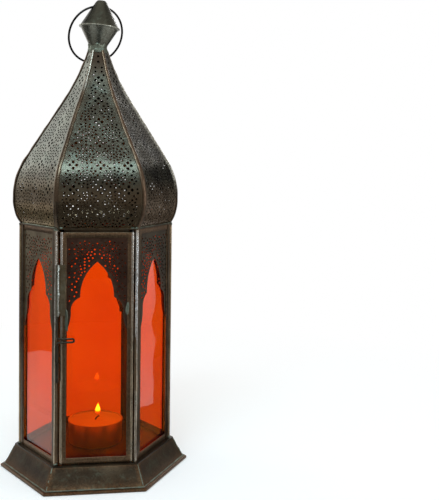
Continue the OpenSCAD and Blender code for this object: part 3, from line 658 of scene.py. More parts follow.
def folded_frame(x0, x1, z0, z1, face, flange, overhang=(0, 0, 0, 0)):
    """Four corners for each point of the section.

    Flange = visible widths (left, right, bottom, top); overhang widens the front outwards by as much.
    """
    r, back, none = 0.3, face - CHANNEL_DEPTH, np.zeros(4)
    wide, over = np.array(flange, float), -np.array(overhang, float)
    section = [
        (wide, face - 0.08), (wide - 0.12, face), (over + r, face), (over + 0.3 * r, face - 0.3 * r), (over, face - r),
        (over, face - SHEET), (none, face - SHEET - 0.001), (none, back + r), (none + 0.3 * r, back + 0.3 * r),
        (none + r, back), (none + LIP, back), (none + LIP, back + SHEET), (none + SHEET, back + SHEET),
        (none + SHEET, face - SHEET), (wide, face - SHEET),
    ]
    return np.array([[
        (x0 + left, -distance, z0 + low), (x1 - right, -distance, z0 + low),
        (x1 - right, -distance, z1 - high), (x0 + left, -distance, z1 - high),
    ] for (left, right, low, high), distance in section])


def channel(name, rectangles, turn, seed, body, stands_for, parts=24):
    """Splits a folded frame's sides into parts, so that a ripple and wear show on them, and makes the piece."""
    share = np.arange(parts)[:, None] / parts
    fine = rectangles[:, :, None] + share * (np.roll(rectangles, -1, 1) - rectangles)[:, :, None]
    fine = fine.reshape(len(rectangles), -1, 3)
    fine[..., 1] += ripple(fine, 45, 0.05, seed)
    inner_edge = np.zeros(fine.shape[:2])
    inner_edge[:3] = 1.0
    make_piece(name, turned(fine, turn), [grid_faces(*fine.shape[:2], True, True)], METAL["frame"], body,
               "bronze_sheet", [stands_for], inner_edge)


SIDE_FACE = FLAT - SHEET
SIDE_W = (SIDE_FACE - CHANNEL_DEPTH) * math.tan(HALF) - 0.3
STILES = {1: (4.6, 2.3), 3: (4.2, 1.8), 5: (2.2, 3.0)}
for k in range(1, 6):
    widths = (*STILES.get(k, (3.5, 3.5)), 3.9, 3.5)
    side_frame = folded_frame(-SIDE_W, SIDE_W, FLOOR_Z, PLATE_Z, SIDE_FACE, widths)
    channel("side_channel_%d" % k, side_frame, TURN * k, 60 + k, "lantern", "side_frame_%d" % k)
print("side frames reach", round(SIDE_W, 2), "mm each way")

# %% [markdown]
# ## The door
#
# The door is the same channel with its two upright edges rolled into tubes. The right one turns on the
# hinge wire; the left one only stiffens the door. A rolled edge is a strip bent almost full circle, so
# its section is two arcs of unlike radius, and the slit where the roll closes faces inwards.

# %% Door frame
DOOR_X0, DOOR_X1, DOOR_Z0, DOOR_Z1 = 2.7 - BODY_R / 2, BODY_R / 2 - 1.9, 16.3, 168.9
HEM_R, HEM_WALL = 1.1, 0.3
HEM_Y = FLAT + 0.2 - HEM_R
IN_X0, IN_X1 = DOOR_X0 + 1.98, DOOR_X1 - 1.98
door_frame = folded_frame(IN_X0, IN_X1, DOOR_Z0, DOOR_Z1, FLAT, (2.32, 2.32, 3.9, 3.5), (0.88, 0.88, 0, 0))
channel("door_channel", door_frame, 0, 71, "door", "door_frame")


def rolled_edge(x, side, seed):
    """A strip bent round from the slit behind to the front, between the door's ends."""
    swing = np.radians(np.linspace(100, 420, 28)) * side + (0 if side > 0 else math.pi)
    outer, inner = ([x, -HEM_Y] + circle(swing, r) for r in (HEM_R, HEM_R - HEM_WALL))
    return strip_up(outer, inner, np.linspace(DOOR_Z0, DOOR_Z1, 50), 0.03, seed)


roll_points, roll_groups = join([rolled_edge(DOOR_X0 + HEM_R, -1, 81), rolled_edge(DOOR_X1 - HEM_R, 1, 82)])
# The front of each roll is worn and carries a painted highlight that grows stronger towards the top.
roll_wear_and_highlight = np.clip((-roll_points[:, 1] - HEM_Y) / HEM_R, 0, 1)
roll_wear_and_highlight *= np.interp(roll_points[:, 2], [90, 140, 168], [0.1, 0.3, 0.6])
make_piece("door_rolled_edges", roll_points, roll_groups, METAL["bead"], "door", "bronze_sheet", wear_and_highlight=roll_wear_and_highlight)
print("door:", round(DOOR_X1 - DOOR_X0, 1), "by", round(DOOR_Z1 - DOOR_Z0, 1), "mm")

# %% [markdown]
# A narrow strip hangs from the top plate behind the door's upper edge. It stops the light that would
# otherwise shine through the gap over the door.

# %% Lintel
lintel = np.array([(-21.0, -41.2), (21.0, -41.2)])
lintel_points, lintel_groups = strip_up(lintel, lintel + [0, 0.4], np.linspace(167.6, PLATE_Z + 0.1, 4))
make_piece("door_lintel", lintel_points, lintel_groups, METAL["frame"], "lantern", "bronze_sheet")

# %% [markdown]
# ## Pierced sheet
#
# The ornament is cut through the sheet, so the holes are real. A flat plan holds the outline, every
# hole as an eight-sided loop, and a few loose points for the bends. A constrained triangulation joins
# them all, the triangles inside holes or outside the outline are dropped, and the rest is placed twice,
# once for each skin, with walls along every free edge.

# %% Pierced sheet
HOLE_SIDES, THIN = 8, 0.36


def inside(points, loop):
    """Even-odd rule: a point is inside if a level line to its right crosses the loop an odd number of times."""
    a, b = loop, np.roll(loop, -1, 0)
    x, y = points[:, 0, None], points[:, 1, None]
    spans = (a[:, 1] > y) != (b[:, 1] > y)
    rise = np.where(b[:, 1] == a[:, 1], 1.0, b[:, 1] - a[:, 1])
    crossing = a[:, 0] + (y - a[:, 1]) * (b[:, 0] - a[:, 0]) / rise
    return (spans & (x < crossing)).sum(1) % 2 == 1


def in_holes(points, holes, share):
    """Whether each point lies within that share of some hole's half width and height."""
    found = np.zeros(len(points), bool)
    for part in np.array_split(np.arange(len(points)), 20):
        offset = (points[part, None] - holes[None, :, :2]) / holes[None, :, 2:]
        found[part] = (np.hypot(offset[..., 0], offset[..., 1]) < share).any(1)
    return found


def plan_of(outline, holes, step):
    """Points and triangles of a flat plan; holes are rows of (x, y, half width, half height)."""
    corners = circle((np.arange(HOLE_SIDES) + 0.5) * 2 * math.pi / HOLE_SIDES)
    loops = holes[:, None, :2] + corners[None] * holes[:, None, 2:]
    low, high = outline.min(0), outline.max(0)
    gx, gy = np.meshgrid(np.arange(low[0] + step, high[0], step), np.arange(low[1] + step, high[1], step))
    loose = np.stack([gx.ravel(), gy.ravel()], 1)
    to_edge = np.hypot(*(loose[:, None] - outline[None]).transpose(2, 0, 1)).min(1)
    near_hole = in_holes(loose, holes + [0, 0, 0.45, 0.45], 1.0)
    loose = loose[inside(loose, outline) & ~near_hole & (to_edge > 0.8)]
    points = np.concatenate([outline, loops.reshape(-1, 2), loose])
    n, turn = len(outline), np.arange(HOLE_SIDES)
    rim = np.stack([np.arange(n), (np.arange(n) + 1) % n], 1)
    first = n + HOLE_SIDES * np.arange(len(holes))[:, None]
    cuts = np.stack([first + turn, first + (turn + 1) % HOLE_SIDES], -1).reshape(-1, 2)
    edges = [tuple(e) for e in np.concatenate([rim, cuts]).tolist()]
    made = delaunay_2d_cdt([Vector(p) for p in points.tolist()], edges, [], 0, 1e-6)
    flat, triangles = np.array([tuple(p) for p in made[0]]), np.array(made[2])
    middle = flat[triangles].mean(1)
    return flat, triangles[inside(middle, outline) & ~in_holes(middle, holes, 0.9)]


def both_skins(flat, triangles, place, thickness):
    """place(flat, depth) gives the points of a skin; free edges get a wall between the two skins."""
    n = len(flat)
    points = np.concatenate([place(flat, 0.0), place(flat, thickness)])
    directed = np.concatenate([triangles[:, [0, 1]], triangles[:, [1, 2]], triangles[:, [2, 0]]])
    free = directed[~np.isin(directed[:, 0] * n + directed[:, 1], directed[:, 1] * n + directed[:, 0])]
    walls = np.column_stack([free[:, 1], free[:, 0], free[:, 0] + n, free[:, 1] + n])
    return points, [np.concatenate([triangles, triangles[:, ::-1] + n]), walls]


# %% [markdown]
# The ornament has two motifs: a flower of four bigger holes, and a rosette of three rings of dots round
# a middle dot. Flowers stand in rows and columns, and a rosette lies between each four of them. Where
# the sheet ends, the motif is simply cut short, dot by dot.

# %% Flowers and rosettes
ROSETTE = [(0.0, 1, 0.74), (2.45, 8, 0.66), (4.7, 12, 0.74), (6.85, 14, 0.8)]


def dots(centres, size):
    """Rows (x, y, half width, half height) of equal round holes."""
    return np.column_stack([centres, np.full((len(centres), 2), size)])


def flower(x, y, reach=2.15, size=1.08):
    """Four holes, to the right, above, to the left and below."""
    return dots([x, y] + circle(np.arange(4) * math.pi / 2, reach), size)


def rosette(x, y, scale=1.0):
    """Rings of dots: (distance, how many, dot radius), the first dot of each ring straight up."""
    return np.concatenate([
        dots([x, y] + circle(math.pi / 2 + np.arange(count) * 2 * math.pi / count, scale * reach), size)
        for reach, count, size in ROSETTE])


def clear_of_others(holes, gap=0.3):
    """Drops each hole that comes nearer than gap to one kept before it."""
    kept = []
    for hole in holes:
        if all(math.hypot(hole[0] - k[0], hole[1] - k[1]) > hole[2] + k[2] + gap for k in kept):
            kept.append(hole)
    return np.array(kept)


# %% [markdown]
# ## The arch plates
#
# In front of each pane lies a pierced plate whose lower edge is a pointed arch with two cusps on each
# side. Half the arch is three shallow arcs between four corners. Each arc is a straight line plus a
# bulge that follows 4 s (1 - s) along it.

# %% Arch
ARCH_H, ARCH_W = 46.0, SIDE_W - 3.5
ARCH_Z = PLATE_Z - 21.2 - ARCH_H
APEX = ARCH_Z + ARCH_H
ARCH_CORNERS = np.array([(0, 1), (0.55, 0.495), (0.845, 0.26), (1, 0)]) * [ARCH_W, ARCH_H] + [0, ARCH_Z]
ARCH_BULGES = (0.118, 0.18, -0.05)


def arch_half(steps=14):
    """The arch's right half from its point down to its springing."""
    s = np.arange(steps)[:, None] / steps
    stretches = []
    for a, b, bulge in zip(ARCH_CORNERS, ARCH_CORNERS[1:], ARCH_BULGES):
        side = np.array([a[1] - b[1], b[0] - a[0]])
        stretches.append(a + s * (b - a) + 4 * bulge * s * (1 - s) * side)
    return np.concatenate(stretches + [ARCH_CORNERS[-1:]])


half_arch = arch_half()
print("arch:", round(2 * ARCH_W, 1), "wide,", ARCH_H, "high,", len(half_arch), "points on each half")


def arch_at(z, **beyond):
    """Half the arch's opening at a height."""
    return np.interp(z, half_arch[::-1, 1], half_arch[::-1, 0], **beyond)


# %% [markdown]
# The plate's pattern is laid out from the arch's point, and holes keep clear of the arch and of the
# flanges. On three sides the arch was set a little aside, and its pattern with it. The left side's plate
# is painted paler, for the light that falls on that side, and the door's has smaller holes.

# %% Arch plates
PLATE_GAP, LEG = 0.7, 3.6
STEP_ACROSS, STEP_UP, FIRST_FLOWER = 8.15, 7.65, APEX - 1.1


def arch_plan(x0, x1, z1, middle):
    """Outline and holes of a plate, x measured across the lantern's side and y as height."""
    right, left = half_arch + [middle, 0], half_arch[1:] * [-1, 1] + [middle, 0]
    foot = ARCH_Z - LEG
    outline = np.concatenate([
        [(x1, foot), (x1, z1), (x0, z1), (x0, foot), (left[-1, 0], foot)], left[::-1], right, [(right[-1, 0], foot)]])
    holes = [flower(middle + c * STEP_ACROSS, FIRST_FLOWER + r * STEP_UP, 1.95, 0.82)
             for r in (-2, 0, 2) for c in (-2, 0, 2) if c != 0 or r > 0]
    holes += [rosette(middle + c * STEP_ACROSS, FIRST_FLOWER + r * STEP_UP, 0.97)
              for r in (1, -1, -3) for c in (-3, -1, 1, 3)]
    holes = np.concatenate(holes)
    away = np.abs(holes[:, 0] - middle)
    clear_of_arch = (holes[:, 1] > APEX + 1.5) | (away > arch_at(holes[:, 1], left=ARCH_W, right=0) + 1.6)
    within = (away < ARCH_W - 1.1) & (holes[:, 1] < z1 - 4.6) & (holes[:, 1] > ARCH_Z + 6)
    return outline[::-1], clear_of_others(holes[clear_of_arch & within])


def arch_plate(x0, x1, z1, middle, face, hole_size=1.0):
    """Points, faces and wear of a plate between a frame's webs; its edge along the arch is worn."""
    outline, holes = arch_plan(x0 + PLATE_GAP, x1 - PLATE_GAP, z1 - PLATE_GAP, middle)
    flat, triangles = plan_of(outline, holes * [1, 1, hole_size, hole_size], 4.0)

    def upright(points, depth):
        """The plan stood up in front of the pane, sunk by depth."""
        return np.column_stack([points[:, 0], np.full(len(points), depth - face), points[:, 1]])

    points, groups = both_skins(flat, triangles, upright, THIN)
    near = np.abs(np.abs(points[:, 0] - middle) - arch_at(points[:, 2]))
    return points, groups, fade(near, 1.4) * (points[:, 2] < APEX + 1)


ARCH_ASIDE = {1: 1.9, 3: 2.2, 5: -0.7}
for k in range(1, 6):
    points, groups, wear_and_highlight = arch_plate(-SIDE_W, SIDE_W, PLATE_Z, ARCH_ASIDE.get(k, 0.0), SIDE_FACE - SHEET)
    make_piece("arch_sheet_%d" % k, turned(points, TURN * k), groups, METAL["plate_painted_light" if k == 5 else "plate"],
               "lantern", "bronze_sheet", ["side_arch_%d" % k], wear_and_highlight)
points, groups, wear_and_highlight = arch_plate(IN_X0, IN_X1, DOOR_Z1, (DOOR_X0 + DOOR_X1) / 2, FLAT - SHEET, 0.76)
make_piece("arch_sheet_door", points, groups, METAL["door_plate"], "door", "bronze_sheet", ["door_arch"], wear_and_highlight)
print("door's arch plate:", sum(len(g) for g in groups), "faces")

# %% [markdown]
# ## The dome's curve
#
# Every gore follows one curve: a bend over the foot, the belly, the shoulder, a straight flank and a
# hollow flare to the neck. Each bend is a circular arc, tangent to the next, so the curve is known from
# its radii and the sheet's lean at each joint. The run along it is measured once, and everything on the
# dome is placed by run and by distance across.

# %% Dome curve
FOOT_LEAN, BELLY_LEAN, FLANK_LEAN, NECK_LEAN = 34, 7.5, -29.0, -15.5
FOOT_BEND_R, BELLY_R, SHOULDER_R, FLARE_R = 27, 57, 55, 165
NECK_R = 6.4


def bend(start, lean_from, lean_to, radius, steps=40):
    """Arc from start: middle + r (cos lean, -sin lean) as the lean (degrees, outwards) goes from one to the other."""
    a0 = math.radians(lean_from)
    middle = start + radius * np.array([-math.cos(a0), math.sin(a0)])
    lean = np.linspace(lean_from, lean_to, steps)
    return np.column_stack([middle + circle(-np.radians(lean), radius), lean])


foot_bend = bend(np.array([FLAT - 0.9, DOME_Z - SHEET]), FOOT_LEAN, BELLY_LEAN, FOOT_BEND_R)
belly = bend(foot_bend[-1, :2], BELLY_LEAN, 0, BELLY_R)
shoulder = bend(belly[-1, :2], 0, FLANK_LEAN, SHOULDER_R)
flank_lean = math.radians(FLANK_LEAN)
flare_in = FLARE_R * (math.cos(math.radians(NECK_LEAN)) - math.cos(flank_lean))
flank_length = (shoulder[-1, 0] - flare_in - (NECK_R + 0.1) * math.cos(HALF)) / -math.sin(flank_lean)
flank_share = np.linspace(0, flank_length, 12)[1:, None]
flank = at_height(shoulder[-1, :2] + flank_share * [math.sin(flank_lean), math.cos(flank_lean)], FLANK_LEAN)
flare = bend(flank[-1, :2], FLANK_LEAN, NECK_LEAN, -FLARE_R)
curve = np.concatenate([foot_bend, belly[1:], shoulder[1:], flank, flare[1:]])
RUN = np.concatenate([[0], np.cumsum(np.hypot(*np.diff(curve[:, :2], axis=0).T))])
NECK_Z = curve[-1, 1] - SHEET
RUN_FOOT, RUN_NECK = (float(np.interp(z, curve[:, 1], RUN)) for z in (DOME_Z, NECK_Z))


def dome_at(run):
    """Distance of the flat from the axis, height and lean (radians) at a run along the curve."""
    apothem, height, lean = (np.interp(run, RUN, column) for column in curve.T)
    return apothem, height, np.radians(lean)


def half_gore(run):
    """Half the flat's width at a run."""
    return dome_at(run)[0] * math.tan(HALF)


def on_gore(flat, depth):
    """Plan (across, run) to points on the door side's gore, sunk by depth along the sheet's normal."""
    y, z, lean = dome_at(flat[:, 1])
    return np.column_stack([flat[:, 0], -(y - depth * np.cos(lean)), z + depth * np.sin(lean)])


print("dome curve:", round(RUN[-1], 1), "mm long, neck at", round(NECK_Z, 1))

# %% [markdown]
# The dome was soldered up slightly twisted: its belly is turned against the body by almost three
# degrees, and the turn dies out again towards the neck.

# %% Twist
TWIST_HEIGHTS, TWIST_DEGREES = [171.5, 181, 189, 200, 215, 231.5, 249], [0.8, 2.2, 2.7, 2.5, 2.1, 1.3, 0.2]


def twisted(points):
    """Turns each point about the upright axis by an angle that depends on its height."""
    angle = np.radians(np.interp(points[..., 2], TWIST_HEIGHTS, TWIST_DEGREES))
    c, s = np.cos(angle), np.sin(angle)
    x, y = points[..., 0], points[..., 1]
    return np.stack([c * x - s * y, s * x + c * y, points[..., 2]], -1)


# %% [markdown]
# ## The gores
#
# A gore's plan is as wide as the hexagon is at each height, less the seam. The ornament's lattice is
# laid over the plan, dots that would come too near the edges are left out, and small dots fill what
# room is left. Towards the neck the gore is too narrow for the lattice, so a few single holes end it.

# %% Gore holes
PITCH_ACROSS, PITCH_UP, FIRST_ROW, ASIDE = 17.7, 16.5, 10.3, 0.5
LATTICE_END, SIDE_BORDER, NECK_BORDER = 112, 3.5, 1.5
NECK_DOT, LOW_SINGLE, TOP_SINGLE = 0.58, 0.95, 0.8
NECK_PAIRS = [(-1.7, 119.6), (1.7, 119.4), (-1.9, 116.4), (1.9, 116.2), (-2.9, 113.7), (3.0, 113.5)]
FILLER_ROOM, FILLER_R = 0.9, 0.64


def gore_holes():
    """The lattice and the neck's single holes, then filler dots wherever one has room."""
    holes = [flower(ASIDE + column * PITCH_ACROSS, FIRST_ROW + row * PITCH_UP)
             for row in range(7) for column in (-1, 0, 1)]
    holes += [rosette(ASIDE + column * PITCH_ACROSS, FIRST_ROW + (row - 0.5) * PITCH_UP)
              for row in range(8) for column in (-1.5, -0.5, 0.5, 1.5)]
    holes += [dots(NECK_PAIRS, NECK_DOT), dots([(0.2, 123.4)], LOW_SINGLE), dots([(0.2, 127.6)], TOP_SINGLE)]
    holes = np.concatenate(holes)
    border = np.where(holes[:, 1] > LATTICE_END, NECK_BORDER, SIDE_BORDER)
    keep = (np.abs(holes[:, 0]) + holes[:, 2] < half_gore(holes[:, 1]) - border) & (holes[:, 1] > RUN_FOOT + 1.0)
    keep &= (holes[:, 1] < LATTICE_END) | np.isin(holes[:, 2], (NECK_DOT, LOW_SINGLE, TOP_SINGLE))
    filler = dots([(x + row % 2 * 1.25, RUN_FOOT + 2.4 + row * 2.2)
                   for row in range(51) for x in np.arange(-27.5, 27.5, 2.5)], FILLER_ROOM)
    has_room = np.abs(filler[:, 0]) + 0.5 < half_gore(filler[:, 1]) - SIDE_BORDER
    filler = filler[has_room & (filler[:, 1] < LATTICE_END)]
    together = clear_of_others(np.concatenate([clear_of_others(holes[keep]), filler]), 0.25)
    together[together[:, 2] == FILLER_ROOM, 2:] = FILLER_R
    return together


# %% [markdown]
# Little daylight shows through the dome, so the three rear gores have finer holes. A gore is worn along
# its edges. The one to the right of the front has a painted highlight along its right edge instead. Each
# has dents of its own, which die out towards the seams.

# %% Gores
SEAM, REAR_GORES, REAR_SIZE = 0.95, (2, 3, 4), 0.52
runs = np.concatenate([
    np.arange(RUN_FOOT, 56, 1.6), np.arange(56, 90, 4), np.arange(90, RUN_NECK - 1, 1.8), [RUN_NECK]])
right_edge = np.column_stack([half_gore(runs) - SEAM, runs])
gore_outline = np.concatenate([right_edge, (right_edge * [-1, 1])[::-1]])
all_holes = gore_holes()
front_plan, rear_plan = (plan_of(gore_outline, all_holes * [1, 1, size, size], 2.4) for size in (1.0, REAR_SIZE))
for k in range(6):
    flat, triangles = rear_plan if k in REAR_GORES else front_plan
    points, groups = both_skins(flat, triangles, on_gore, THIN)
    to_edge = np.tile(half_gore(flat[:, 1]) - np.abs(flat[:, 0]), 2)
    wear_and_highlight = fade(to_edge, 2.6)
    # On the right front gore the mask is a painted highlight along its right edge, in place of wear.
    if k == 1:
        wear_and_highlight = np.clip(1.4 - to_edge / 2.6, 0, 1) * np.tile(flat[:, 0] > 0, 2)
        wear_and_highlight *= np.interp(points[:, 2], [192, 206, 262, 274], [0, 1, 1, 0])
    dent = ripple(points, 26, 0.1, 90 + k) * np.clip(to_edge / 4 - 0.3, 0, 1)
    points = points - outwards(points) * dent[:, None]
    make_piece("gore_sheet_%d" % (k + 1), twisted(turned(points, TURN * k)), groups, gore_metals.get(k, dome_metal),
               "lantern", "bronze_sheet", ["dome_gore_%d" % (k + 1)], wear_and_highlight)
print("gore:", len(all_holes), "holes,", sum(len(g) for g in groups), "faces")

# %% [markdown]
# ## The seams
#
# Where two gores meet, their edges are folded over each other into a standing seam. It is a rounded
# strip that follows the corner's own curve, which lies farther out than the flats by one over the
# cosine of 30 degrees. Its section is an oval across the corner. Two of the seams carry a stretch of
# painted highlight: the one at the right is bright all round, and the one at the front left only
# faintly, along its top and near the neck.

# %% Seam ribs
def rib(k):
    """Oval sections along the corner: centre + height cos a along the corner's normal + width sin a sideways."""
    along = np.linspace(RUN_FOOT + 0.2, RUN_NECK - 0.1, 110)
    y, z = dome_at(along)[:2]
    r = y / math.cos(HALF)
    slope = np.stack([np.gradient(r), np.gradient(z)], 1)
    slope /= np.linalg.norm(slope, axis=1)[:, None]
    corner = math.radians(FIRST_CORNER + TURN * k)
    out = np.array([math.cos(corner), math.sin(corner), 0])
    side, upright = np.array([-math.sin(corner), math.cos(corner), 0]), np.array([0, 0, 1])
    normal = slope[:, 1, None] * out - slope[:, 0, None] * upright
    centre = r[:, None] * out + z[:, None] * upright - 0.35 * normal
    a = np.linspace(0, 2 * math.pi, 14, endpoint=False)
    taper = np.interp(along, [RUN_FOOT, 20, 100, RUN_NECK], [1.7, 1.65, 1.45, 1.1])
    width = taper * (1 + ripple(centre, 16, 0.1, 30 + k))
    tall = 0.85 * (1 + ripple(centre, 11, 0.12, 130 + k))
    points = centre[:, None] + (tall[:, None] * np.cos(a))[..., None] * normal[:, None]
    points = (points + (width[:, None] * np.sin(a))[..., None] * side).reshape(-1, 3)
    wear_and_highlight = np.concatenate([np.tile(np.clip(np.cos(a), 0, 1), len(along)), [0, 0]])
    faces = [grid_faces(len(along), len(a), False, True), tip_fans(len(along), len(a))]
    return np.concatenate([points, centre[:1], centre[-1:]]), faces, wear_and_highlight


PAINTED_SEAM_HIGHLIGHT, FAINT = {0: (262, 268, 289, 293), 2: (188, 204, 268, 282)}, 0.35
for k in range(6):
    points, groups, wear_and_highlight = rib(k)
    # On these two seams the mask is a painted highlight, faint on the front left one.
    if k in PAINTED_SEAM_HIGHLIGHT:
        seam_highlight = np.interp(points[:, 2], PAINTED_SEAM_HIGHLIGHT[k], (0, 1, 1, 0.3))
        wear_and_highlight = seam_highlight if k == 2 else FAINT * seam_highlight * wear_and_highlight
    seam_metal = METAL["seam_painted_highlight" if k in PAINTED_SEAM_HIGHLIGHT else "seam"]
    make_piece("seam_rib_%d" % (k + 1), twisted(points), groups, seam_metal, "lantern", "worn_seam",
               ["dome_rib_%d" % (k + 1)], wear_and_highlight)
print("seams:", len(points), "points each")

# %% [markdown]
# A bead of solder runs along the dome's foot on five of its six sides. It leaves the door's side out.

# %% Solder at the dome's foot
foot_line = along_hexagon(FLAT + 0.15, DOME_Z + 0.1)
at_front = (foot_line[:, 1] < 0.2 - FLAT) & (np.abs(foot_line[:, 0]) < 22)
past_front = int(np.flatnonzero(at_front & ~np.roll(at_front, -1))[0]) + 1
foot_line = np.roll(foot_line, -past_front, axis=0)[:-int(at_front.sum())]
make_piece("dome_foot_solder", *solder_bead(foot_line, 0.42, 15, False), METAL["solder"], "lantern", "solder")
print("dome's foot solder:", len(foot_line), "points along")

# %% [markdown]
# ## The finial
#
# The finial is two cones of sheet, folded together at their rim, on a lump of solder at the neck. It
# leans a little. The cones are turned shapes: an outline of radius and height swung round the axis. The
# upper one is pierced by the ring's hole, so it is made as a flat plan and rolled up.

# %% Turned shapes
def lathe(outline, segments=72, wobble=0.0, seed=0):
    """Swings a closed outline of (radius, height) round the axis; a ripple pushes its points out and in."""
    outline = np.asarray(outline, float)
    a = np.linspace(0, 2 * math.pi, segments, endpoint=False)
    r = outline[:, 0, None]
    points = np.stack([r * np.cos(a), r * np.sin(a), outline[:, 1, None] + 0 * a], -1)
    if wobble:
        swell = 1 + ripple(points, 6, wobble, seed) / np.maximum(r, 0.5)
        points = points * np.stack([swell, swell, np.ones_like(swell)], -1)
    return points.reshape(-1, 3), [grid_faces(len(outline), segments, True, True)]


LEAN = math.radians(4.2)
FINIAL_Z = NECK_Z + 3.5


def on_finial(points):
    """From the finial's own upright frame to the lantern: leaned towards +X about its foot, then lifted."""
    c, s = math.cos(LEAN), math.sin(LEAN)
    return np.asarray(points) @ np.array([[c, 0, -s], [0, 1, 0], [s, 0, c]]) + [0, 0, FINIAL_Z]


# %% [markdown]
# The collar's outline follows how solder sets: rounded, and drawn in a little at its middle. The lower
# cone ends in a folded rim, which is worn and carries a painted highlight along its edge.

# %% Neck and lower cone
COLLAR = [(4.9, 0.3), (6.1, -1.4), (6.5, -1.5), (6.75, -0.5), (6.6, 0.8),
          (6.45, 2.0), (6.5, 3.2), (6.7, 4.4), (6.5, 4.9), (5.2, 3.6)]
collar_points, collar_faces = lathe(COLLAR, 60, 0.35, 5)
make_piece("neck_solder", collar_points + [0, 0, NECK_Z], collar_faces, METAL["solder"], "lantern", "solder",
           ["neck_collar"])

LOW_H, HIGH_H, WIDE, TOP_R = 12.9, 18.1, 13.8, 3.6
LOWER_CONE = [
    (NECK_R - 0.75, 0.0), (NECK_R, 0.0), (NECK_R + 0.12, 0.6), (WIDE - 0.7, LOW_H - 0.7), (WIDE + 0.25, LOW_H - 0.55),
    (WIDE + 0.45, LOW_H - 0.2), (WIDE + 0.45, LOW_H + 0.3), (WIDE + 0.2, LOW_H + 0.5), (WIDE - 0.2, LOW_H + 0.45),
    (WIDE - 0.3, LOW_H + 0.05), (WIDE - 1.2, LOW_H - 0.6),
]
low_points, low_faces = lathe(LOWER_CONE, 96, 0.1, 8)
# Near its top the rim is worn and has a painted highlight.
rim_wear_and_highlight = np.clip(low_points[:, 2] - LOW_H + 1.2, 0, 1)
make_piece("finial_cup", on_finial(low_points), low_faces, METAL["finial"], "lantern", "bronze_sheet",
           ["finial_lower_cone"], rim_wear_and_highlight)

# %% [markdown]
# The upper cone's plan has the turn about its axis across and the run up its flank upwards. The two
# holes for the ring lie opposite each other, and the seam is at the back.

# %% Finial's upper cone
RING_YAW = math.radians(26)
HOLE_RISE, HOLE_R, R_AT_HOLE = 14.1, 1.6, 5.8
SEAM_TURN, SPREAD = math.radians(100), 10.0
CONE_OUT, CONE_UP, CONE_WALL = 0.87, 0.49, 0.75
flank_line = np.array([
    (WIDE - 0.05, LOW_H + 0.1), (TOP_R + 0.25, LOW_H + HIGH_H - 0.4), (TOP_R, LOW_H + HIGH_H),
    (TOP_R - 0.7, LOW_H + HIGH_H + 0.55)])
flank_run = np.concatenate([[0], np.cumsum(np.hypot(*np.diff(flank_line, axis=0).T))])


def rolled_cone(flat, depth):
    """Plan (turn x 10 mm, run) to a point at that turn and at the radius and height that the run reaches."""
    r = np.interp(flat[:, 1], flank_run, flank_line[:, 0]) - depth * CONE_OUT
    z = np.interp(flat[:, 1], flank_run, flank_line[:, 1]) - depth * CONE_UP
    a = flat[:, 0] / SPREAD
    return np.column_stack([r * np.cos(a), r * np.sin(a), z])


def plan_line(x, run):
    """Plan points of a straight edge: one of the two is the same for all of them."""
    return np.stack(np.broadcast_arrays(x, run), 1)


def cone_hole(turn, rise):
    """The plan's oval of a round hole at that turn and that height over the rim."""
    run = np.interp(LOW_H + rise, flank_line[:, 1], flank_run)
    r = np.interp(run, flank_run, flank_line[:, 0])
    return (turn * SPREAD, run, HOLE_R / r * SPREAD, HOLE_R / CONE_OUT)


tilt_rise = R_AT_HOLE * math.sin(LEAN) * math.cos(RING_YAW)
cone_holes = np.array([
    cone_hole(RING_YAW, HOLE_RISE + tilt_rise), cone_hole(RING_YAW - math.pi, HOLE_RISE - tilt_rise)])
x_low, x_high = (SEAM_TURN - 2 * math.pi) * SPREAD, SEAM_TURN * SPREAD - 0.02
up = np.concatenate([np.arange(0, flank_run[1], 1.0), flank_run[1:]])
across = np.arange(x_low, x_high, 0.9)
cone_outline = np.concatenate([
    plan_line(across, 0), plan_line(x_high, up), plan_line(across[::-1], flank_run[-1]),
    plan_line(x_low, up[1:-1][::-1])])
cone_flat, cone_triangles = plan_of(cone_outline, cone_holes, 1.0)
cone = both_skins(cone_flat, cone_triangles, rolled_cone, CONE_WALL)
cap_r, cap_z = flank_line[-1]
cap = lathe([
    (0.02, cap_z + 0.26), (cap_r * 0.6, cap_z + 0.22), (cap_r, cap_z + 0.02), (cap_r, cap_z - 0.6),
    (0.02, cap_z - 0.5)], 48)
points, groups = join([cone, cap])
make_piece("finial_point", on_finial(points), groups, METAL["finial_dark"], "lantern", "bronze_sheet",
           ["finial_upper_cone"], fade(points[:, 2] - LOW_H, 1.3))
print("finial tip at", round(float(on_finial(points)[:, 2].max()), 1))

# %% [markdown]
# ## The hanging ring
#
# The ring is a single wire bent round, with its ends butted. It passes through the finial's two holes
# and hangs down behind the neck. It is one tube along a circle that leaves a hair's gap at the butt.

# %% Hanging ring
RING_R, RING_WIRE, RING_LEAN = 20.4, 0.75, math.radians(23.5)
hole_height = LOW_H + HOLE_RISE
hinge_at = np.array([hole_height * math.sin(LEAN), 0, FINIAL_Z + hole_height * math.cos(LEAN)])
ring_side = np.array([math.cos(RING_YAW), math.sin(RING_YAW), 0])
ring_back = np.array([-math.sin(RING_YAW), math.cos(RING_YAW), 0])
ring_down = math.sin(RING_LEAN) * ring_back - np.array([0, 0, math.cos(RING_LEAN)])
ring_middle = hinge_at + (RING_R - 0.7) * ring_down
turn = np.linspace(math.radians(-58), math.radians(301), 200)[:, None]
ring_path = ring_middle + RING_R * (np.sin(turn) * ring_side + np.cos(turn) * ring_down)
make_piece("ring_wire", *tube(ring_path, RING_WIRE, np.cross(ring_side, ring_down), 18), METAL["wire"],
           "hanging_ring", "dark_wire", ["hanging_ring"])
print("ring turns about", np.round(hinge_at, 1))

# %% [markdown]
# ## The latch
#
# A wire bolt slides up and down in a tube that is strapped to the door's edge. Its lower end drops into
# a keeper on the post, which is open above so that the door can take the bolt with it. Halfway down,
# the wire is bent out into a flat hairpin that serves as its handle.

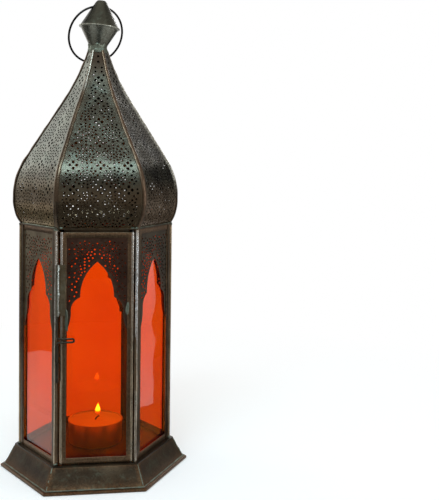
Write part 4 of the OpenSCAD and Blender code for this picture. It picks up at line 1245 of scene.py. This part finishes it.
# %% Bolt
GUIDE_R, GUIDE_BORE, BOLT_R = 1.25, 0.78, 0.65
BOLT_X = DOOR_X0 - 0.2 - GUIDE_R
BOLT_Y = -(BEAD_AT * math.cos(HALF) + math.sqrt(2.45 ** 2 - (BOLT_X + BEAD_AT / 2) ** 2))
BOLT_Z = FLOOR_Z + 82.5
RISE, ROOT, REACH = 1.1, 1.04, 11.5
GUIDE_Z0, GUIDE_Z1 = BOLT_Z + 16.1, BOLT_Z + 16.1 + 33.3
KEEPER_Z1 = BOLT_Z - RISE - 2.08
KEEPER_Z0 = KEEPER_Z1 - 24.0


def rounded(path, radius, steps=5):
    """Replaces each inner corner of a path by a short curve: (1 - s)^2 a + 2 s (1 - s) corner + s^2 b."""
    path = np.asarray(path, float)
    made = [path[:1]]
    for before, corner, after in zip(path, path[1:], path[2:]):
        to_before, to_after = np.linalg.norm(before - corner), np.linalg.norm(after - corner)
        reach = min(radius, to_before / 2, to_after / 2)
        a, b = corner + (before - corner) / to_before * reach, corner + (after - corner) / to_after * reach
        s = np.linspace(0, 1, steps)[:, None]
        made.append((1 - s) ** 2 * a + 2 * s * (1 - s) * corner + s ** 2 * b)
    return np.concatenate(made + [path[-1:]])


tip = [REACH - RISE - BOLT_R, 0] + circle(np.radians(np.linspace(90, -90, 9)), RISE)
wire = [(0, 34.6), (0, 20), (0, 8), (0, RISE + ROOT), (ROOT, RISE), (4, RISE), *tip]
wire += [(4, -RISE), (ROOT, -RISE), (0, -RISE - ROOT), (0, -8), (0, KEEPER_Z1 - 11 - BOLT_Z)]
wire = rounded([(BOLT_X + x, BOLT_Y, BOLT_Z + z) for x, z in wire], 0.9)
make_piece("bolt_wire", *tube(wire, BOLT_R, (0, 1, 0), 12), METAL["latch"], "latch_bolt", "dark_wire", ["latch_bolt"])

# %% [markdown]
# The guide is a strip bent into a tube, soldered to a strap on the door that is painted pale, as if lit.
# The tube's side towards the door is bright with tin and a painted highlight, and has crusts of solder
# at three heights. Two more dabs of solder sit on the door's stiles.

# %% Guide
def split_tube(z0, z1, from_degrees, to_degrees, seed):
    """A strip bent round the bolt between two angles, carried up between two heights."""
    swing = np.radians(np.linspace(from_degrees, to_degrees, 22))
    outer, inner = ([BOLT_X, BOLT_Y] + circle(swing, r) for r in (GUIDE_R, GUIDE_BORE))
    return strip_up(outer, inner, np.linspace(z0, z1, 24), 0.02, seed)


guide_parts = [split_tube(GUIDE_Z0, GUIDE_Z1, -250, 70, 147)]
for z, seed in ((GUIDE_Z0 + 2, 144), (GUIDE_Z1 - 2.2, 145), (GUIDE_Z0 + 14, 146)):
    guide_parts.append(lump((BOLT_X + 0.9, BOLT_Y + 0.23, z), (0.8, 0.7, 1.6), seed))
guide_points, guide_groups = join(guide_parts)
# The door side of the tube is tin and a painted highlight, strongest in its upper half.
tin_and_highlight = np.clip((guide_points[:, 0] - BOLT_X + 0.1) / 0.6, 0, 1)
tin_and_highlight *= np.interp(guide_points[:, 2], [GUIDE_Z0, GUIDE_Z0 + 12, GUIDE_Z0 + 18, GUIDE_Z1], [0.3, 0.5, 1.0, 0.8])
make_piece("guide_tube", guide_points, guide_groups, METAL["crust"], "door", "solder", ["latch_guide"], tin_and_highlight)

STRAP_COLUMNS, STRAP_ROWS = 8, 24
strap_x = np.linspace(BOLT_X + 1.0, DOOR_X0 + 4.3 - 0.65, STRAP_COLUMNS)
front, back = -(FLAT + 0.2 + SHEET), -(FLAT + 0.2)
ring = np.array([(x, front) for x in strap_x] + [(x, back) for x in strap_x[::-1]])
strap_points = np.array([at_height(ring, z) for z in np.linspace(GUIDE_Z0, GUIDE_Z1, STRAP_ROWS)])
strap_points[..., 1] -= np.abs(ripple(strap_points, 5, 0.12, 141)) * (strap_points[..., 1] < front + 0.1)
strap = strap_points.reshape(-1, 3), strip_faces(STRAP_ROWS, STRAP_COLUMNS)
pad = lump((DOOR_X0 + 2.95, -FLAT - 0.12, (GUIDE_Z0 + GUIDE_Z1) / 2), (0.75, 0.3, 15.5), 143)
# The strap shares the left plate's paler colours, painted light.
make_piece("guide_strap", *join([strap, pad]), METAL["plate_painted_light"], "door", "solder")
dabs = [lump((x, -FLAT - 0.05, z), (0.95, 0.3, tall), seed)
        for x, z, tall, seed in ((IN_X0 + 2.4, 111, 7.2, 161), (IN_X1 - 2.3, 118, 4.3, 162))]
make_piece("door_solder_dabs", *join(dabs), METAL["solder"], "door", "solder")
print("guide:", round(GUIDE_Z1 - GUIDE_Z0, 1), "mm long")

# %% [markdown]
# The keeper is almost closed below and a half-open cradle above. A flat fin holds it to the post.

# %% Keeper
CRADLE = 11.5
keeper_low = split_tube(KEEPER_Z0, KEEPER_Z1 - CRADLE, -262, 82, 151)
keeper_high = split_tube(KEEPER_Z1 - CRADLE, KEEPER_Z1, 2, 178, 152)
fin_x0, fin_x1, fin_y = 1.05 - BEAD_AT / 2, 1.9 - BODY_R / 2, BOLT_Y + 1.0
fin_ring = np.array([(fin_x0, fin_y), (fin_x1, fin_y), (fin_x1, -FLAT), (fin_x0, -FLAT)])
fin = np.concatenate([at_height(fin_ring, z) for z in np.linspace(KEEPER_Z0, KEEPER_Z1, 12)])
make_piece("keeper_tube", *join([keeper_low, keeper_high, (fin, strip_faces(12, 2))]), METAL["latch"], "lantern",
           "solder", ["latch_keeper"])
print("keeper ends", round(BOLT_Z - KEEPER_Z1, 1), "mm under the handle's middle")

# %% [markdown]
# ## The tealight
#
# The candle is a thin foil cup with a rolled rim, wax a little below it, a charred wick and a flame.
# The cup's wall has a fine flute, which the pressed foil gets in the mould.

# %% Cup
CUP = [
    (0.5, 0.0), (17.6, 0.0), (18.3, 0.35), (18.6, 1.0), (18.75, 6.0), (18.9, 15.1), (19.25, 15.5), (19.22, 15.9),
    (18.95, 16.0), (18.6, 15.75), (18.55, 15.0), (18.35, 6.0), (18.2, 1.0), (17.6, 0.4), (0.5, 0.4),
]
cup_points, cup_faces = lathe(CUP, 120)
turn_of = np.arctan2(cup_points[:, 1], cup_points[:, 0])
flute = 1 + 0.0012 * np.cos(60 * turn_of) * ((cup_points[:, 2] > 0.8) & (cup_points[:, 2] < 15))
cup_points = cup_points * np.stack([flute, flute, np.ones_like(flute)], 1) + [0, 0, FLOOR_Z]
foil, tree, shader = new_finish("cup_foil")
feed(tree, shader, {
    "Base Color": light_value(225, 225, 228), "Metallic": 1.0,
    "Roughness": spread(tree, noise(tree, object_place(tree), 400), 0.3, 0.7, 0.3, 0.4),
})
make_piece("candle_cup", cup_points, cup_faces, foil, "lantern", "cup_foil", ["tealight_cup"])
print("cup:", round(2 * cup_points[:, 0].max(), 1), "mm across")

# %% [markdown]
# Molten wax creeps up the cup's wall and the wick, which the wax's outline follows. Light goes some way
# into wax before it comes out again. Its faint glow is painted: the wax gives off a little warm light of its own.

# %% Wax and wick
WAX_Z = FLOOR_Z + 14.5
WAX = [(0.3, -14.0), (18.1, -14.0), (18.3, -7), (18.42, 0.6), (18.2, 0.45), (17.4, 0.12), (15.0, 0.0),
       (6.0, -0.1), (2.0, 0.05), (0.9, 0.5), (0.3, 0.6)]
wax_points, wax_faces = lathe(WAX, 90, 0.02, 3)
wax, tree, shader = new_finish("wax_finish")
milky = spread(tree, noise(tree, object_place(tree), 160), 0.3, 0.7)
# The emission is a painted glow, in place of the flame's light shining through the wax.
feed(tree, shader, {
    "Base Color": mix_colour(tree, milky, light_value(250, 232, 205), light_value(255, 244, 226)),
    "Roughness": 0.35, "Subsurface Weight": 0.5, "Subsurface Radius": (0.006, 0.004, 0.003), "Subsurface Scale": 1.0,
    "Emission Color": light_value(255, 190, 110), "Emission Strength": 0.25,
})
make_piece("candle_wax", wax_points + [0, 0, WAX_Z], wax_faces, wax, "lantern", "wax", ["tealight_wax"])

char = metal("wick_finish", (22, 18, 15), (48, 36, 28), (70, 50, 36), (40, 32, 26), 0.3, 0.3, 0.7, 0.9, 0.0)
wick_path = [(0, 0, WAX_Z - 0.3), (0.3, 0, WAX_Z + 1.3), (1.4, -0.2, WAX_Z + 2.5), (2.6, -0.4, WAX_Z + 3.2)]
make_piece("candle_wick", *tube(rounded(wick_path, 1.0), 0.5, (0, 1, 0), 8), char, "lantern", "wick",
           ["tealight_wick"])
print("wax at", WAX_Z, "mm")

# %% [markdown]
# ## The flame
#
# A candle flame is a thin glowing skin of hot soot: dim and red at its root, orange at its edge and
# nearly white at its heart. Here it is a drop-shaped solid that gives off its own light, brightest
# at its middle. Its outline is a sine raised to a power, so that it is round below and pointed above.

# %% Flame
FLAME_H, FLAME_R, FLAME_FOOT = 7.6, 2.0, WAX_Z + 5.0
FLAME_COLOURS = {
    0.2: (0.42, 0.07, 0.01, 1), 0.36: (1.0, 0.6, 0.16, 1), 0.5: (1.0, 0.85, 0.45, 1), 0.75: (1.0, 0.72, 0.25, 1)}


def drop(height, width, lean=0.0, rows=26, columns=24):
    """Radius width sin(pi s^0.62)^0.9 (1 - 0.35 s) at share s of the height; the ends are single points."""
    s = np.linspace(0, 1, rows)[1:-1, None]
    r = width * np.sin(math.pi * s ** 0.62) ** 0.9 * (1 - 0.35 * s)
    a = np.linspace(0, 2 * math.pi, columns, endpoint=False)
    body = np.stack([r * np.cos(a) + lean * s ** 2, r * np.sin(a), s * height + 0 * a], -1).reshape(-1, 3)
    faces = [grid_faces(rows - 2, columns, False, True), tip_fans(rows - 2, columns)]
    return np.concatenate([body, [[0, 0, 0], [lean, 0, height]]]), faces


flame, tree, shader = new_finish("flame_glow")
up_flame = spread(tree, split(tree, object_place(tree))["Z"], FLAME_FOOT * MM, (FLAME_FOOT + FLAME_H) * MM)
ramp = node(tree, "ShaderNodeValToRGB", {"Fac": up_flame})
ramp.color_ramp.elements[0].color = (0.3, 0.05, 0.005, 1)
ramp.color_ramp.elements[1].color = (1.0, 0.42, 0.06, 1)
for position, colour in FLAME_COLOURS.items():
    ramp.color_ramp.elements.new(position).color = colour
feed(tree, shader, {
    "Base Color": (0, 0, 0, 1), "Roughness": 1.0, "Emission Color": ramp.outputs["Color"], "Emission Strength": 9.0})
flame_points, flame_faces = drop(FLAME_H, FLAME_R, 0.3)
make_piece("candle_flame", flame_points + [1.6, -0.4, FLAME_FOOT], flame_faces, flame, "lantern")
print("flame from", FLAME_FOOT, "to", FLAME_FOOT + FLAME_H, "mm")

# %% [markdown]
# ## Coloured glass
#
# The panes are window glass coloured right through, so light is tinted once going in and once coming
# out. Looking through the lantern, the eye sees white paper through two panes, which turns it a deep
# orange red. Old glass is never quite flat, so a slow ripple bends its reflections.

# %% Glass
glass, tree, shader = new_finish("orange_glass")
place = object_place(tree)
depth_of_colour = spread(tree, noise(tree, place, 24, 2), 0.35, 0.65)
waves = node(tree, "ShaderNodeBump", {"Strength": 0.12, "Distance": 0.002, "Height": noise(tree, place, 30, 1)})
feed(tree, shader, {
    "Base Color": mix_colour(tree, depth_of_colour, (0.86, 0.19, 0.01, 1), (0.9, 0.23, 0.014, 1)),
    "Roughness": 0.02, "IOR": 1.5, "Transmission Weight": 1.0, "Normal": waves.outputs["Normal"],
})
print("glass:", len(tree.nodes), "nodes")

# %% [markdown]
# ## Finishes for the frame's own parts
#
# Parts whose plain shape is already right keep their solids and only get a finish: the panes, the floor
# and top plates, and the hinge wire.

# %% Frame finishes
def dress(node_name, finish):
    """Gives a frame part one material in place of those that it came with."""
    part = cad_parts[node_name]
    part.data.materials.clear()
    part.data.materials.append(finish)


for pane in ["side_glass_%d" % k for k in range(1, 6)] + ["door_glass"]:
    dress(pane, glass)
dress("base_floor", METAL["skirt"])
dress("top_plate", METAL["frame"])
dress("hinge_wire", METAL["wire"])
print("plate finish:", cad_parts["top_plate"].data.materials[0].name)

# %% [markdown]
# ## Floor
#
# The lantern stands on a white sweep. Its paper is a plain pale grey that takes the lantern's shadow.
# Where the eye looks at it, straight or through a pane, it also glows a little, and is simply white from
# half a metre on, so that no horizon shows. Metal and glass see that white behind the lantern.

# %% Floor
WHITE = (1, 1, 1, 1)


def seen_straight(tree, rays):
    """1 for a look from the camera, straight or through glass."""
    return math_node(tree, "MAXIMUM", rays["Is Camera Ray"], rays["Is Transmission Ray"])


paper_finish, tree, shader = new_finish("white_paper")
place = object_place(tree)
rays = tree.nodes.new("ShaderNodeLightPath").outputs
from_middle = node(tree, "ShaderNodeVectorMath", {0: place}, operation="LENGTH").outputs["Value"]
far_share = spread(tree, from_middle, 0.12, 0.5)
board_share = spread(tree, split(tree, place)["Y"], 0.15, 0.7)
board_share = math_node(tree, "ADD", math_node(tree, "MULTIPLY", board_share, 0.62), 0.38)
mirrored = math_node(tree, "MULTIPLY", rays["Is Glossy Ray"], board_share)
seen = math_node(tree, "MAXIMUM", seen_straight(tree, rays), mirrored)
glow = math_node(tree, "ADD", math_node(tree, "MULTIPLY", far_share, 0.75), 0.25)
feed(tree, shader, {
    "Base Color": mix_colour(tree, far_share, (0.8, 0.8, 0.8, 1), (0, 0, 0, 1)), "Roughness": 0.9,
    "Specular IOR Level": 0.0, "Emission Color": WHITE, "Emission Strength": math_node(tree, "MULTIPLY", seen, glow),
})
floor_mesh = bpy.data.meshes.new("floor")
rim = np.linspace(0, 2 * math.pi, 96, endpoint=False)
floor_mesh.from_pydata([(3 * math.cos(a), 3 * math.sin(a), -0.0002) for a in rim], [], [tuple(range(96))])
floor_mesh.materials.append(paper_finish)
paper = add_object("floor", floor_mesh)
print("paper:", len(tree.nodes), "nodes")

# %% [markdown]
# ## Dark cards
#
# Black cards lie where panes would mirror the white paper, so that the glass keeps its deep colour: one
# in front of the object, one behind the lens and one out to the left. Those on the right give the right
# pane its darkest red. Only mirrors and panes see the cards, and they throw no shadow.

# %% Dark cards
CARDS = {
    "card_in_front": [(-0.045, -0.085, 0.002), (-0.4, -0.95, 0.002), (0.4, -0.95, 0.002), (0.045, -0.085, 0.002)],
    "card_behind_lens": [(-0.4, -0.95, 0.002), (-0.4, -0.95, 0.1), (0.4, -0.95, 0.1), (0.4, -0.95, 0.002)],
    "card_left": [(-0.59, -0.275, 0.002), (-1.7, 0.3, 0.002), (-1.1, 1.2, 0.002), (-0.09, 0.59, 0.002)],
    "card_right": [(0.29, 0.152, 0.002), (0.29, 0.152, 0.33), (0.33, 0.6, 0.33), (0.33, 0.6, 0.002)],
    "card_right_floor": [(0.075, 0.006, 0.003), (0.29, 0.152, 0.003), (0.29, 0.3, 0.003), (0.075, 0.12, 0.003)],
    "card_right_near": [(0.07, -0.09, 0.003), (0.13, -0.09, 0.003), (0.16, 0.08, 0.003), (0.07, 0.08, 0.003)],
}
card_finish, tree, shader = new_finish("black_card")
feed(tree, shader, {"Base Color": (0.015, 0.015, 0.015, 1), "Roughness": 0.9})
for name, corners in CARDS.items():
    mesh = bpy.data.meshes.new(name)
    mesh.from_pydata(corners, [], [(0, 1, 2, 3)])
    mesh.materials.append(card_finish)
    card = add_object(name, mesh)
    card.visible_camera = card.visible_diffuse = card.visible_transmission = card.visible_shadow = False
print("cards:", len(CARDS))

# %% [markdown]
# ## Lamps
#
# An area lamp of power P and area A shines with brightness P / (pi A) in every direction, so each lamp
# is written by its size and its brightness, where 1 is white paper. A long panel above and in front
# draws the cool band on the dome's shoulder. One behind on the left lights the left gore, and a dim one
# under it the left side. A strip on the right and one behind on the right draw the thin lines on the
# bead and the dome's edge, and a large dim panel overhead fills the slopes.

# %% Lamps
def lamp(name, place, aim, size, brightness, colour=(1, 1, 1)):
    """An area lamp of size (across, up) in metres at a place, facing its aim."""
    data = bpy.data.lights.new(name, "AREA")
    data.shape, data.size, data.size_y = "RECTANGLE", size[0], size[1]
    data.energy, data.color = math.pi * size[0] * size[1] * brightness, colour
    made = add_object(name, data)
    made.location = place
    made.rotation_euler = (Vector(aim) - Vector(place)).to_track_quat("-Z", "Y").to_euler()
    print(name, "brightness", brightness, "power", round(data.energy, 2))


lamp("lamp_above_front", (-0.2, -0.82, 1.08), (0, 0, 0.2), (0.9, 0.2), 16.5, (0.65, 0.89, 1.0))
lamp("lamp_left_behind", (-0.95, 0.84, 0.76), (0, 0, 0.22), (0.45, 0.46), 2.9, (0.93, 1.0, 0.95))
lamp("lamp_left_low", (-0.95, 0.52, 0.45), (0, 0, 0.15), (0.5, 0.28), 1.5, (1.0, 0.97, 0.9))
lamp("lamp_right_strip", (1.0, -0.55, 0.29), (0, 0, 0.15), (0.2, 0.5), 7.0, (0.88, 0.94, 1.0))
lamp("lamp_right_rim", (0.5, 1.0, 0.62), (0, 0, 0.25), (0.05, 0.5), 11.0)
lamp("lamp_overhead", (0, -0.2, 1.5), (0, 0, 0), (1.5, 1.3), 0.5)

# %% [markdown]
# ## Surroundings
#
# Behind the lantern stands a lit white board, and the room around is half as bright, a little warmer
# low down. Where the eye or a pane looks straight at the surroundings they are white.

# %% Surroundings
world = bpy.data.worlds.new("studio")
bpy.context.scene.world = world
world.use_nodes = True
sky = world.node_tree
way = split(sky, sky.nodes.new("ShaderNodeTexCoord").outputs["Generated"])
room = mix_colour(sky, spread(sky, way["Z"], 0.15, 0.6), (0.54, 0.5, 0.45, 1), (0.5, 0.49, 0.47, 1))
room = mix_colour(sky, spread(sky, way["Y"], 0.72, 0.95), room, WHITE)
seen = seen_straight(sky, sky.nodes.new("ShaderNodeLightPath").outputs)
feed(sky, sky.nodes["Background"], {"Color": mix_colour(sky, seen, room, WHITE), "Strength": 1.0})
bpy.context.scene.view_settings.view_transform = "Standard"
print("surroundings:", len(sky.nodes), "nodes")
